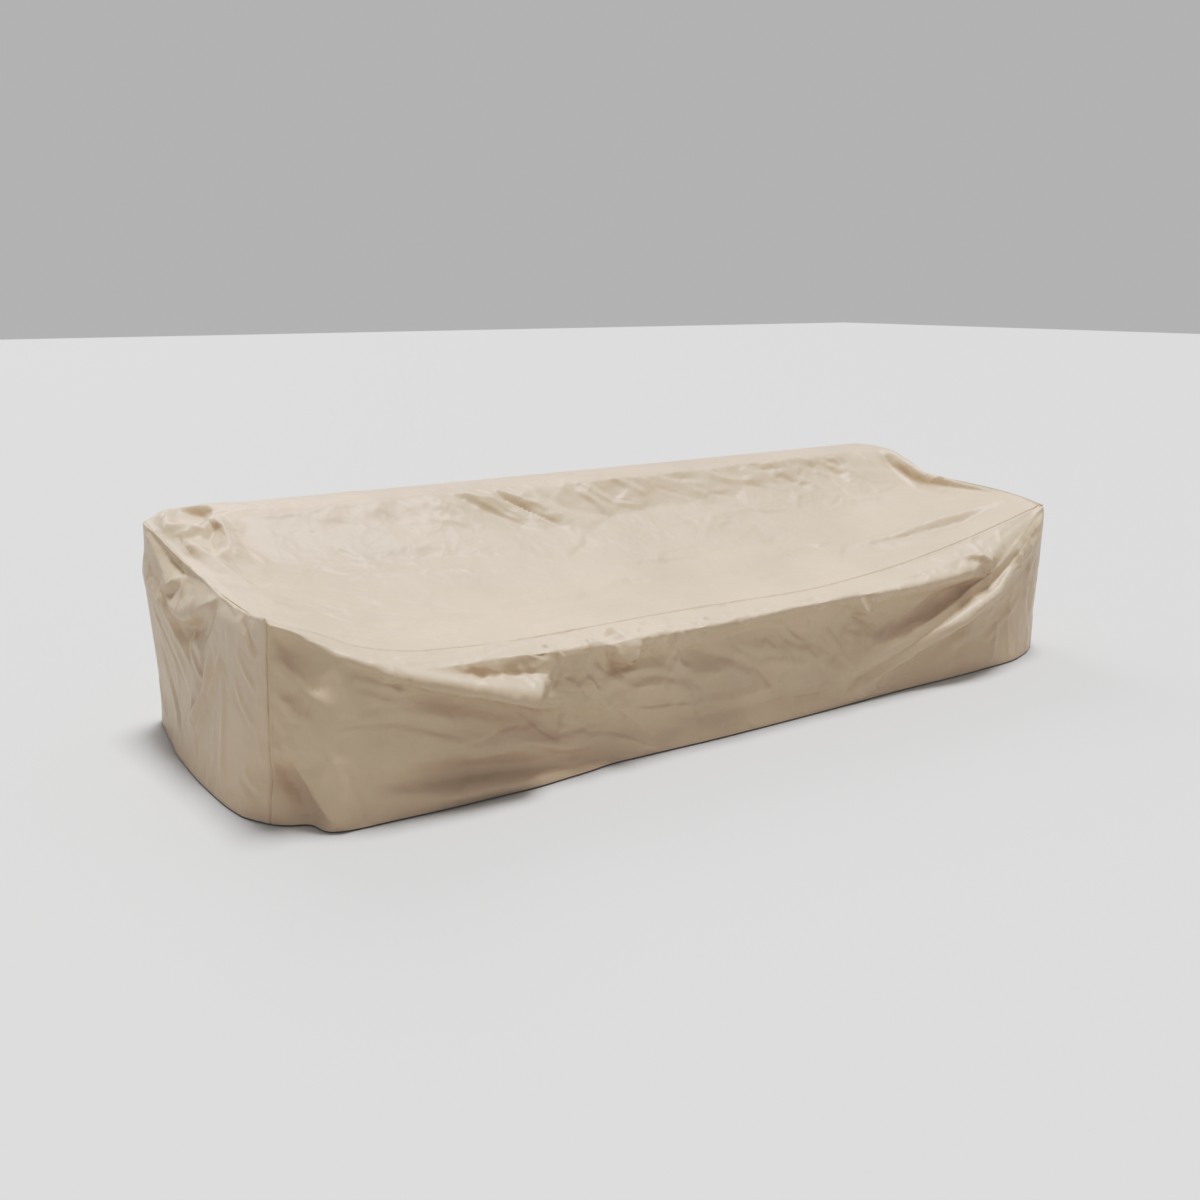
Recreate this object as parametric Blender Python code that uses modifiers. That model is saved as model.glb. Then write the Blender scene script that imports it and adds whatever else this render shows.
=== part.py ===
"""Fitted outdoor cover for a long, deep sofa, in the shape in which it hangs over that sofa.

Five panels of coated woven cloth are sewn into one hollow cover that is open below: the top panel
runs down from the back to the seat, the front panel goes over the lip of the seat to the hem, and
an end panel at each side and a back panel hang from the top. X runs along the cover, +Y is its
back, and Z is the height above the plane of the hem. Units are metres.
"""

import bpy
import numpy as np

COLLECTION = "outdoor_sofa_cover"

CLOTH = 0.002  # thickness of the coated cloth
SEAM_GAP = 0.0004  # between two panels at the seam that joins them
HANG_SPREAD = (0.0, 0.2, 0.38, 0.56, 0.78, 1.0)  # how evenly the named lines of a hanging panel lie
CLOTH_COLOUR = (0.55, 0.46, 0.36, 1.0)
CLOTH_ROUGHNESS = 0.5

# How finely the panels are divided: along the cover, and between each two named lines.
ALONG = 58
TOP_STEPS = 3
HANG_STEPS = 3

# The top panel. Each row is a section from the rear edge to the front seam: where it lies along
# the cover, then the height of the cloth on each line. TOP_LINES gives how far back each line runs.
#             rear   crown  fold   slope  nook   rise    seat    brow    seam
TOP_LINES = (0.490, 0.410, 0.330, 0.240, 0.110, -0.040, -0.180, -0.290, -0.380)
TOP_SECTIONS = (
    # x    rear   crown  fold   slope  nook   rise   seat   brow   seam
    (-1.32, 0.604, 0.603, 0.590, 0.562, 0.527, 0.500, 0.482, 0.478, 0.488),
    (-1.22, 0.605, 0.611, 0.602, 0.555, 0.500, 0.468, 0.447, 0.440, 0.445),
    (-1.10, 0.606, 0.612, 0.605, 0.550, 0.478, 0.430, 0.400, 0.390, 0.388),
    (-0.95, 0.606, 0.612, 0.605, 0.548, 0.468, 0.408, 0.374, 0.360, 0.356),
    (-0.66, 0.605, 0.611, 0.604, 0.545, 0.460, 0.400, 0.362, 0.346, 0.340),
    (-0.20, 0.605, 0.611, 0.602, 0.540, 0.455, 0.396, 0.358, 0.346, 0.343),
    (0.26, 0.605, 0.611, 0.603, 0.542, 0.455, 0.396, 0.356, 0.342, 0.336),
    (0.60, 0.606, 0.612, 0.604, 0.545, 0.458, 0.402, 0.370, 0.360, 0.358),
    (0.90, 0.607, 0.613, 0.605, 0.548, 0.466, 0.420, 0.402, 0.400, 0.400),
    (1.14, 0.608, 0.614, 0.606, 0.552, 0.482, 0.458, 0.450, 0.448, 0.446),
    (1.27, 0.608, 0.614, 0.604, 0.550, 0.496, 0.488, 0.486, 0.482, 0.474),
    (1.33, 0.607, 0.610, 0.600, 0.566, 0.524, 0.520, 0.514, 0.504, 0.488),
)

# The two arm seams, from the back corner to the front corner, on the same lines as the top panel.
LEFT_SEAM = (
    # x     y      z
    (-1.395, 0.455, 0.586),
    (-1.398, 0.395, 0.582),
    (-1.392, 0.340, 0.574),
    (-1.382, 0.275, 0.556),
    (-1.370, 0.160, 0.531),
    (-1.355, 0.000, 0.508),
    (-1.345, -0.140, 0.491),
    (-1.338, -0.270, 0.488),
    (-1.333, -0.400, 0.500),
)
RIGHT_SEAM = (
    # x    y      z
    (1.375, 0.465, 0.600),
    (1.385, 0.400, 0.598),
    (1.385, 0.330, 0.578),
    (1.380, 0.260, 0.554),
    (1.375, 0.140, 0.530),
    (1.368, -0.020, 0.524),
    (1.358, -0.170, 0.520),
    (1.345, -0.290, 0.512),
    (1.332, -0.400, 0.497),
)

# The front panel. Each row is a section down from the seam: its place along the cover at the top
# and at the hem, then how far back and how high each line runs. The lip is the front edge of the
# seat, the tuck is the slack under it, the crest is the taut ridge that runs down from each arm.
FRONT_SECTIONS = (
    # x      x_hem   lip_y   lip_z  tuck_y  tuck_z crest_y crest_z skirt_y skirt_z hem_y
    (-1.333, -1.349, -0.404, 0.485, -0.398, 0.420, -0.392, 0.320, -0.384, 0.160, -0.373),
    (-1.285, -1.296, -0.402, 0.464, -0.398, 0.405, -0.404, 0.300, -0.414, 0.140, -0.425),
    (-1.225, -1.240, -0.416, 0.430, -0.428, 0.405, -0.442, 0.350, -0.482, 0.150, -0.492),
    (-1.180, -1.190, -0.424, 0.410, -0.442, 0.400, -0.458, 0.386, -0.490, 0.200, -0.506),
    (-1.100, -1.100, -0.435, 0.378, -0.464, 0.372, -0.488, 0.356, -0.498, 0.200, -0.511),
    (-0.990, -0.990, -0.450, 0.350, -0.482, 0.338, -0.510, 0.319, -0.502, 0.180, -0.517),
    (-0.870, -0.870, -0.465, 0.340, -0.472, 0.310, -0.524, 0.280, -0.500, 0.160, -0.518),
    (-0.740, -0.740, -0.480, 0.334, -0.462, 0.292, -0.528, 0.238, -0.498, 0.130, -0.519),
    (-0.620, -0.620, -0.492, 0.328, -0.484, 0.270, -0.510, 0.205, -0.496, 0.110, -0.518),
    (-0.420, -0.420, -0.494, 0.323, -0.480, 0.256, -0.490, 0.180, -0.486, 0.090, -0.502),
    (-0.100, -0.100, -0.494, 0.321, -0.466, 0.252, -0.484, 0.150, -0.488, 0.070, -0.510),
    (0.180, 0.180, -0.494, 0.328, -0.456, 0.250, -0.486, 0.120, -0.498, 0.050, -0.508),
    (0.400, 0.400, -0.494, 0.328, -0.446, 0.236, -0.496, 0.105, -0.498, 0.045, -0.503),
    (0.590, 0.590, -0.494, 0.323, -0.440, 0.222, -0.510, 0.142, -0.488, 0.070, -0.497),
    (0.790, 0.790, -0.491, 0.331, -0.440, 0.256, -0.516, 0.195, -0.480, 0.110, -0.498),
    (0.900, 0.900, -0.485, 0.340, -0.444, 0.286, -0.516, 0.224, -0.476, 0.130, -0.497),
    (0.980, 0.985, -0.470, 0.354, -0.456, 0.314, -0.506, 0.252, -0.474, 0.150, -0.494),
    (1.090, 1.105, -0.434, 0.394, -0.448, 0.368, -0.480, 0.322, -0.462, 0.200, -0.489),
    (1.200, 1.225, -0.412, 0.434, -0.424, 0.418, -0.448, 0.388, -0.438, 0.240, -0.458),
    (1.290, 1.320, -0.402, 0.466, -0.410, 0.456, -0.422, 0.438, -0.412, 0.260, -0.408),
    (1.332, 1.385, -0.402, 0.490, -0.404, 0.478, -0.404, 0.455, -0.386, 0.250, -0.352),
)

# The end panels. Each row is a section at one place along the arm seam, from the front corner to the
# back corner: how far out the cloth stands on each line and at the hem, and where the hem lies.
END_HEIGHTS = (0.440, 0.340, 0.230, 0.110, 0.0)
LEFT_SECTIONS = (
    # seam_y  arm    elbow  waist  skirt  hem    hem_y
    (-0.310, 1.350, 1.354, 1.362, 1.378, 1.393, -0.286),
    (-0.180, 1.362, 1.368, 1.380, 1.398, 1.413, -0.152),
    (-0.020, 1.376, 1.380, 1.388, 1.406, 1.423, 0.020),
    (0.110, 1.388, 1.388, 1.392, 1.408, 1.424, 0.150),
    (0.230, 1.406, 1.402, 1.398, 1.402, 1.416, 0.270),
    (0.330, 1.418, 1.411, 1.402, 1.398, 1.406, 0.380),
    (0.410, 1.418, 1.411, 1.402, 1.396, 1.399, 0.448),
    (0.455, 1.404, 1.400, 1.394, 1.388, 1.386, 0.492),
)
RIGHT_SECTIONS = (
    # seam_y  arm   elbow  waist  skirt  hem    hem_y
    (-0.310, 1.360, 1.368, 1.384, 1.400, 1.410, -0.260),
    (-0.180, 1.372, 1.382, 1.396, 1.410, 1.420, -0.130),
    (-0.020, 1.382, 1.390, 1.400, 1.414, 1.424, 0.010),
    (0.110, 1.390, 1.394, 1.398, 1.410, 1.422, 0.150),
    (0.230, 1.396, 1.396, 1.396, 1.404, 1.414, 0.270),
    (0.330, 1.400, 1.397, 1.394, 1.398, 1.406, 0.370),
    (0.410, 1.398, 1.395, 1.392, 1.396, 1.400, 0.445),
    (0.465, 1.384, 1.384, 1.383, 1.386, 1.390, 0.495),
)

# The back panel. Each row is a section: its place along the cover, then how far back the cloth stands.
BACK_HEIGHTS = (0.530, 0.400, 0.270, 0.130, 0.0)
BACK_SECTIONS = (
    # x     collar upper  waist  skirt  hem
    (1.290, 0.500, 0.500, 0.500, 0.504, 0.510),
    (0.980, 0.502, 0.502, 0.506, 0.512, 0.520),
    (0.620, 0.502, 0.504, 0.500, 0.504, 0.512),
    (0.240, 0.502, 0.502, 0.507, 0.513, 0.520),
    (-0.200, 0.502, 0.504, 0.501, 0.505, 0.514),
    (-0.640, 0.502, 0.502, 0.507, 0.511, 0.519),
    (-1.000, 0.502, 0.503, 0.501, 0.503, 0.512),
    (-1.280, 0.498, 0.499, 0.501, 0.505, 0.511),
)

# Main folds and sags that run over the sections. Each has its height (a trough is negative), its
# half-width, and the points that it runs through. It fades out over its last stretch at each end.
FOLDS = {
    # name: (height, half_width, points)
    # Back corner at the left end: slack cloth gathered beside the end of the backrest.
    "corner_hollow": (-0.042, 0.042, ((-1.37, 0.43, 0.60), (-1.30, 0.41, 0.60), (-1.23, 0.37, 0.60),
                                      (-1.21, 0.30, 0.58))),
    "corner_curl": (0.024, 0.022, ((-1.37, 0.34, 0.57), (-1.32, 0.30, 0.56), (-1.26, 0.22, 0.54),
                                   (-1.17, 0.15, 0.50))),
    "corner_valley": (-0.026, 0.024, ((-1.33, 0.31, 0.57), (-1.35, 0.22, 0.54), (-1.37, 0.12, 0.52))),
    "back_end_ridge": (0.020, 0.022, ((-1.20, 0.33, 0.60), (-1.195, 0.26, 0.57), (-1.23, 0.18, 0.53))),
    # Seat and backrest.
    "seat_sag": (-0.010, 0.090, ((-0.80, -0.10, 0.39), (-0.20, -0.13, 0.37), (0.35, -0.10, 0.37))),
    "arm_fold": (0.015, 0.024, ((1.30, -0.20, 0.50), (1.05, -0.19, 0.46), (0.85, -0.18, 0.41),
                                (0.60, -0.15, 0.38))),
    "arm_trough": (-0.018, 0.026, ((1.24, -0.27, 0.47), (1.02, -0.26, 0.43), (0.82, -0.24, 0.39),
                                   (0.62, -0.22, 0.37))),
    "right_valley": (-0.022, 0.030, ((1.30, 0.34, 0.59), (1.29, 0.18, 0.50), (1.27, 0.02, 0.49),
                                     (1.25, -0.14, 0.48))),
    "backrest_slit_1": (-0.014, 0.020, ((-0.56, 0.35, 0.60), (-0.43, 0.25, 0.55), (-0.32, 0.14, 0.48))),
    "backrest_slit_2": (-0.017, 0.020, ((-0.46, 0.36, 0.60), (-0.35, 0.26, 0.56), (-0.22, 0.14, 0.48))),
    "backrest_slit_3": (-0.015, 0.020, ((-0.34, 0.36, 0.60), (-0.24, 0.28, 0.57), (-0.10, 0.18, 0.50))),
    "backrest_hollow": (-0.012, 0.035, ((-0.30, 0.31, 0.59), (0.15, 0.29, 0.58), (0.60, 0.30, 0.59),
                                        (0.95, 0.29, 0.58))),
    # Front.
    "lip_dart_left": (0.024, 0.028, ((-0.43, -0.38, 0.35), (-0.43, -0.47, 0.330), (-0.42, -0.51, 0.29),
                                     (-0.42, -0.49, 0.24))),
    "lip_dart_right": (0.020, 0.024, ((0.36, -0.40, 0.34), (0.375, -0.48, 0.330), (0.39, -0.49, 0.27))),
    "left_crest": (0.010, 0.018, ((-1.32, -0.40, 0.48), (-1.20, -0.45, 0.405), (-1.10, -0.488, 0.356),
                                  (-0.99, -0.51, 0.319), (-0.87, -0.524, 0.28), (-0.68, -0.52, 0.225))),
    "right_crest": (0.010, 0.018, ((1.32, -0.40, 0.465), (1.20, -0.448, 0.388), (1.09, -0.48, 0.322),
                                   (0.98, -0.506, 0.252), (0.79, -0.516, 0.195), (0.59, -0.51, 0.142),
                                   (0.30, -0.49, 0.05))),
    "hem_fold": (-0.028, 0.032, ((-1.18, -0.50, 0.10), (-0.98, -0.51, 0.085), (-0.76, -0.51, 0.062),
                                 (-0.55, -0.50, 0.040), (-0.38, -0.50, 0.000))),
    "hem_strip": (0.012, 0.024, ((-1.05, -0.51, 0.03), (-0.80, -0.51, 0.02), (-0.60, -0.50, 0.0))),
    "upper_trough": (-0.018, 0.032, ((-1.12, -0.50, 0.285), (-0.96, -0.50, 0.265), (-0.80, -0.50, 0.200),
                                     (-0.60, -0.50, 0.145), (-0.36, -0.49, 0.110))),
    "corner_fold": (-0.045, 0.036, ((-1.36, -0.38, 0.16), (-1.290, -0.42, 0.075), (-1.255, -0.45, -0.04))),
    "arm_front_streak": (0.016, 0.030, ((-1.33, -0.40, 0.42), (-1.26, -0.42, 0.33), (-1.18, -0.48, 0.24))),
    "arm_front_pocket": (-0.016, 0.028, ((-1.31, -0.40, 0.46), (-1.26, -0.41, 0.40), (-1.20, -0.45, 0.33))),
    "right_second_crest": (0.018, 0.022, ((1.33, -0.41, 0.33), (1.12, -0.47, 0.24), (0.93, -0.49, 0.14),
                                          (0.70, -0.49, 0.045))),
    "right_wedge": (-0.018, 0.024, ((1.30, -0.42, 0.38), (1.08, -0.46, 0.27), (0.86, -0.49, 0.16),
                                    (0.70, -0.49, 0.11))),
    # Left end.
    "end_ridge_long": (0.024, 0.022, ((-1.40, 0.44, 0.52), (-1.40, 0.30, 0.37), (-1.39, 0.14, 0.24),
                                      (-1.38, 0.04, 0.18))),
    "end_arc": (0.026, 0.022, ((-1.40, 0.34, 0.45), (-1.39, 0.22, 0.40), (-1.375, 0.10, 0.405),
                               (-1.36, -0.02, 0.46))),
    "end_pocket": (-0.030, 0.026, ((-1.385, 0.20, 0.35), (-1.375, 0.06, 0.365), (-1.36, -0.06, 0.42))),
    "end_curved_ridge": (0.026, 0.024, ((-1.37, -0.08, 0.36), (-1.38, -0.05, 0.25), (-1.39, 0.01, 0.18),
                                        (-1.40, 0.09, 0.09))),
    # Right end and back: plain slack folds of the same kind.
    "right_end_fold": (0.018, 0.035, ((1.37, 0.38, 0.54), (1.39, 0.20, 0.34), (1.40, 0.00, 0.12))),
    "right_end_trough": (-0.016, 0.035, ((1.37, 0.16, 0.48), (1.39, 0.00, 0.30), (1.40, -0.18, 0.08))),
    "back_fold_left": (0.016, 0.045, ((-1.34, 0.50, 0.57), (-1.08, 0.50, 0.34), (-0.88, 0.51, 0.06))),
    "back_fold_right": (0.016, 0.045, ((1.32, 0.50, 0.57), (1.05, 0.50, 0.36), (0.88, 0.51, 0.08))),
    "back_trough": (-0.014, 0.060, ((-0.40, 0.50, 0.42), (0.00, 0.50, 0.30), (0.40, 0.50, 0.26))),
}
FADE = 0.30  # the share of a fold's length, at each end, over which it fades out

# The rows of points along each sewn edge of a panel, and the next rows inside them.
EVERY = slice(None)
HANGING_EDGES = (((0, EVERY), (1, EVERY)), ((-1, EVERY), (-2, EVERY)), ((EVERY, 0), (EVERY, 1)))
ALL_EDGES = HANGING_EDGES + (((EVERY, -1), (EVERY, -2)),)
SEAM_EASE = 1.35  # how much more a seam's corner is drawn back than flat cloth would need
MOST_LEAN = 0.9  # the sharpest corner that a seam is drawn back for, as the sine of half its turn


def clear_scene():
    for obj in list(bpy.data.objects):
        bpy.data.objects.remove(obj, do_unlink=True)


def smooth(knots, values, at):
    """Values at any places between the knots, on a smooth curve that never overshoots them."""
    knots = np.asarray(knots, float)
    values = np.asarray(values, float)
    at = np.asarray(at, float)
    shape = (-1,) + (1,) * (values.ndim - 1)
    gap = np.diff(knots).reshape(shape)
    rise = np.diff(values, axis=0) / gap
    slope = np.zeros_like(values)
    slope[0] = rise[0]
    slope[-1] = rise[-1]
    before, after = rise[:-1], rise[1:]
    same_way = before * after > 0
    total = np.where(same_way, before + after, 1.0)
    slope[1:-1] = np.where(same_way, 2 * before * after / total, 0.0)
    cell = np.clip(np.searchsorted(knots, at, side="right") - 1, 0, len(knots) - 2)
    width = gap[cell]
    t = (at.reshape(shape) - knots[cell].reshape(shape)) / width
    start, end = values[cell], values[cell + 1]
    return (
        start * (1 + 2 * t) * (1 - t) ** 2
        + end * t * t * (3 - 2 * t)
        + slope[cell] * width * t * (1 - t) ** 2
        + slope[cell + 1] * width * t * t * (t - 1)
    )


def between(lines, steps):
    """Places from 0 to 1 on every named line, and evenly between each two of them."""
    places = [
        start + (end - start) * step / steps
        for start, end in zip(lines, lines[1:])
        for step in range(steps)
    ]
    return np.array(places + [lines[-1]])


def shares(distances):
    """Distances along a row of stations, as shares of the whole row."""
    distances = np.asarray(distances, float)
    return (distances - distances[0]) / (distances[-1] - distances[0])


def top_grid():
    """Points of the top panel: along the cover from left to right, and from the rear to the seam."""
    sections = [np.array(LEFT_SEAM)]
    for x, *heights in TOP_SECTIONS:
        sections.append(np.column_stack([np.full(len(heights), x), TOP_LINES, heights]))
    sections.append(np.array(RIGHT_SEAM))
    stations = [row[-1, 0] for row in sections]
    at = np.linspace(stations[0], stations[-1], ALONG + 1)
    lines = smooth(stations, sections, at)
    across = shares([-y for y in TOP_LINES])
    points = smooth(across, np.swapaxes(lines, 0, 1), between(across, TOP_STEPS))
    return np.swapaxes(points, 0, 1)


def hang(upper, stations, sections, at):
    """Points of a panel that hangs from its upper edge through sections of the lines below it."""
    lines = np.concatenate([upper[:, None], smooth(stations, sections, at)], axis=1)
    points = smooth(HANG_SPREAD, np.swapaxes(lines, 0, 1), between(HANG_SPREAD, HANG_STEPS))
    return np.swapaxes(points, 0, 1)


def front_grid(upper):
    """Points of the front panel, from the left corner to the right corner and down to the hem."""
    sections = []
    for x, x_hem, *line_values in FRONT_SECTIONS:
        ys = line_values[0::2]
        zs = np.array(line_values[1::2] + [0.0])
        lean = 1 - zs / zs[0]
        sections.append(np.column_stack([x + (x_hem - x) * lean, ys, zs]))
    return hang(upper, [row[0] for row in FRONT_SECTIONS], sections, upper[:, 0])


def end_grid(upper, table, side, front_corner):
    """Points of an end panel, from the front corner to the back corner and down to the hem."""
    sections = [front_corner[HANG_STEPS::HANG_STEPS]]
    for seam_y, *outs, hem_y in table:
        ys = hem_y + (seam_y - hem_y) * np.array(END_HEIGHTS) / END_HEIGHTS[0]
        sections.append(np.column_stack([side * np.array(outs), ys, END_HEIGHTS]))
    stations = [upper[0, 1]] + [row[0] for row in table]
    return hang(upper, stations, sections, upper[:, 1])


def back_grid(upper, right_corner, left_corner):
    """Points of the back panel, from the right corner to the left corner and down to the hem."""
    sections = [right_corner[HANG_STEPS::HANG_STEPS]]
    for x, *ys in BACK_SECTIONS:
        sections.append(np.column_stack([np.full(len(ys), x), ys, BACK_HEIGHTS]))
    sections.append(left_corner[HANG_STEPS::HANG_STEPS])
    stations = [-upper[0, 0]] + [-row[0] for row in BACK_SECTIONS] + [-upper[-1, 0]]
    return hang(upper, stations, sections, -upper[:, 0])


def panel_grids():
    """The points of each panel, seen from outside. Panels that are sewn together share their points."""
    top = top_grid()
    front = front_grid(top[:, -1])
    right = end_grid(top[-1, ::-1], RIGHT_SECTIONS, 1, front[-1])
    left = end_grid(top[0, ::-1], LEFT_SECTIONS, -1, front[0])
    back = back_grid(top[::-1, 0], right[-1], left[-1])
    return {
        "top_panel": top,
        "front_panel": front,
        "right_panel": right,
        "back_panel": back,
        "left_panel": left[::-1],
    }


def weld(grids):
    """One list of points for the whole cover, and each panel's grid of places in that list."""
    every = np.concatenate([grid.reshape(-1, 3) for grid in grids.values()])
    _, first, place = np.unique(
        np.round(every, 6), axis=0, return_index=True, return_inverse=True
    )
    place = place.reshape(-1)
    places = {}
    start = 0
    for name, grid in grids.items():
        count = grid.shape[0] * grid.shape[1]
        places[name] = place[start:start + count].reshape(grid.shape[:2])
        start += count
    return every[first], places


def unit(vectors):
    return vectors / np.maximum(np.linalg.norm(vectors, axis=-1, keepdims=True), 1e-12)


def normals_of(points, places):
    """The outward direction at each point. At a seam it halves the angle between the panels."""
    total = np.zeros_like(points)
    for grid in places.values():
        a, b = points[grid[:-1, :-1]], points[grid[1:, 1:]]
        c, d = points[grid[:-1, 1:]], points[grid[1:, :-1]]
        facing = np.cross(b - a, d - c)
        panel = np.zeros_like(points)
        for corner in (grid[:-1, :-1], grid[1:, 1:], grid[:-1, 1:], grid[1:, :-1]):
            np.add.at(panel, corner.reshape(-1), facing.reshape(-1, 3))
        total += unit(panel)
    return unit(total)


def fold_profile(points, height, half_width, path):
    """How far a fold lifts each point: most along its path, and fading out at both ends."""
    path = np.array(path, float)
    legs = np.linalg.norm(np.diff(path, axis=0), axis=1)
    length = legs.sum()
    nearest = np.full(len(points), np.inf)
    along = np.zeros(len(points))
    walked = 0.0
    for start, end, leg in zip(path, path[1:], legs):
        share = np.clip((points - start) @ (end - start) / leg**2, 0, 1)
        distance = np.linalg.norm(points - start - share[:, None] * (end - start), axis=1)
        closer = distance < nearest
        nearest = np.where(closer, distance, nearest)
        along = np.where(closer, walked + share * leg, along)
        walked += leg
    from_end = np.minimum(along, length - along) / (FADE * length)
    fade = np.clip(from_end, 0, 1)
    return height * np.exp(-((nearest / half_width) ** 2)) * fade * fade * (3 - 2 * fade)


def draped(points, places):
    """The points with every fold of the table laid over the sections. The hem stays in its plane."""
    normals = normals_of(points, places)
    for height, half_width, path in FOLDS.values():
        points = points + normals * fold_profile(points, height, half_width, path)[:, None]
    for name in ("front_panel", "right_panel", "back_panel", "left_panel"):
        points[places[name][:, -1], 2] = 0.0
    return points


def drawn_back(panel, shared, sewn):
    """The panel with its sewn edges drawn back, so that cloth of full thickness clears its neighbour."""
    result = panel.copy()
    for edge, inner in sewn:
        along = unit(np.gradient(panel[edge], axis=0))
        inward = panel[inner] - panel[edge]
        inward = unit(inward - (inward * along).sum(axis=1, keepdims=True) * along)
        lean = np.clip(-(shared[edge] * inward).sum(axis=1), 0, MOST_LEAN)
        inset = SEAM_GAP / 2 + SEAM_EASE * CLOTH * lean / np.sqrt(1 - lean**2)
        result[edge] += inward * inset[:, None]
    return result


def cloth_material():
    material = bpy.data.materials.new("coated_polyester")
    material.use_nodes = True
    shader = material.node_tree.nodes["Principled BSDF"]
    shader.inputs["Base Color"].default_value = CLOTH_COLOUR
    shader.inputs["Roughness"].default_value = CLOTH_ROUGHNESS
    shader.inputs["Metallic"].default_value = 0.0
    return material


def add_panel(collection, name, panel, material):
    """One panel as a sheet with its outer face on the given points and its thickness inside them."""
    rows, lines = panel.shape[:2]
    corner = np.arange(rows * lines).reshape(rows, lines)
    quads = np.stack([corner[:-1, :-1], corner[:-1, 1:], corner[1:, 1:], corner[1:, :-1]], axis=-1)
    mesh = bpy.data.meshes.new(name)
    mesh.from_pydata(panel.reshape(-1, 3).tolist(), [], quads.reshape(-1, 4).tolist())
    mesh.materials.append(material)
    mesh.shade_smooth()
    obj = bpy.data.objects.new(name, mesh)
    collection.objects.link(obj)
    obj.modifiers.new("same diagonals on both faces", "TRIANGULATE")
    thickness = obj.modifiers.new("cloth thickness", "SOLIDIFY")
    thickness.thickness = CLOTH
    thickness.offset = -1


def main():
    clear_scene()
    points, places = weld(panel_grids())
    points = draped(points, places)
    low, high = points.min(axis=0), points.max(axis=0)
    points -= ((low[0] + high[0]) / 2, (low[1] + high[1]) / 2, low[2])
    shared = normals_of(points, places)
    collection = bpy.data.collections.new(COLLECTION)
    bpy.context.scene.collection.children.link(collection)
    material = cloth_material()
    for name, place in places.items():
        sewn = ALL_EDGES if name == "top_panel" else HANGING_EDGES
        panel = drawn_back(points[place], shared[place], sewn)
        add_panel(collection, name, panel, material)


main()
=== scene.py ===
"""The looks of the outdoor sofa cover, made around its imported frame.

Each panel of the frame is replaced by a fine sheet of cloth. It follows the frame's sections and main
folds, and some of those folds are gentler here, where facets take their place. On top of them come the
creases, the flat facets of crumpled cloth, small wrinkles, the sewn seams and the turned hem. The tables
of sections, folds, creases, facets and wrinkles are in millimetres, and everything else is in metres.
"""

import math

import bpy
import numpy as np
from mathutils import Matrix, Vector
from mathutils.geometry import delaunay_2d_cdt


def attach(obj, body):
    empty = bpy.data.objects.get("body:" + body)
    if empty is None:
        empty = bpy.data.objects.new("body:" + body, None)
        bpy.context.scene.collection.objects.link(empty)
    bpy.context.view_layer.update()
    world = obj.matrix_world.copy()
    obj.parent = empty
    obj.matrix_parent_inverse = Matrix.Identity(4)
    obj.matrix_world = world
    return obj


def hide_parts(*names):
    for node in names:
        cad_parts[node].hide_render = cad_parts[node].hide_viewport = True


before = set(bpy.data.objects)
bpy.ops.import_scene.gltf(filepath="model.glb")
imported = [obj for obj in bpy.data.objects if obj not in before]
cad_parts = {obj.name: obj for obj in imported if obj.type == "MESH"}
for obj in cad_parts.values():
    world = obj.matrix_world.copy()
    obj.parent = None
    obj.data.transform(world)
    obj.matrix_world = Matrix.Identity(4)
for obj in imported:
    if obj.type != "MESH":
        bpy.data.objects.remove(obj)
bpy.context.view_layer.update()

MM = 0.001
CLOTH = 0.0012  # thickness of the sheets
CENTRE = (-0.0028, -0.0054, 0.0)  # where the frame's origin lies among the sections below


def metres(millimetres):
    """A table's sizes as an array in metres."""
    return np.array(millimetres) / 1000


# --- The shape: the frame's own sections, and its main folds with some of them gentler ---

#                  rear crown fold slope nook rise  seat  brow  seam
TOP_LINES = metres((490, 410, 330, 240, 110, -40, -180, -290, -380))
TOP_SECTIONS = metres((
    # x   rear crown fold slope nook rise seat brow seam
    (-1320, 604, 603, 590, 562, 527, 500, 482, 478, 488),
    (-1220, 605, 611, 602, 555, 500, 468, 447, 440, 445),
    (-1100, 606, 612, 605, 550, 478, 430, 400, 390, 388),
    (-950, 606, 612, 605, 548, 468, 408, 374, 360, 356),
    (-660, 605, 611, 604, 545, 460, 400, 362, 346, 340),
    (-200, 605, 611, 602, 540, 455, 396, 358, 346, 343),
    (260, 605, 611, 603, 542, 455, 396, 356, 342, 336),
    (600, 606, 612, 604, 545, 458, 402, 370, 360, 358),
    (900, 607, 613, 605, 548, 466, 420, 402, 400, 400),
    (1140, 608, 614, 606, 552, 482, 458, 450, 448, 446),
    (1270, 608, 614, 604, 550, 496, 488, 486, 482, 474),
    (1330, 607, 610, 600, 566, 524, 520, 514, 504, 488),
))
LEFT_SEAM = metres((
    # x    y    z
    (-1395, 455, 586),
    (-1398, 395, 582),
    (-1392, 340, 574),
    (-1382, 275, 556),
    (-1370, 160, 531),
    (-1355, 0, 508),
    (-1345, -140, 491),
    (-1338, -270, 488),
    (-1333, -400, 500),
))
RIGHT_SEAM = metres((
    # x   y    z
    (1375, 465, 600),
    (1385, 400, 598),
    (1385, 330, 578),
    (1380, 260, 554),
    (1375, 140, 530),
    (1368, -20, 524),
    (1358, -170, 520),
    (1345, -290, 512),
    (1332, -400, 497),
))
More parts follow.
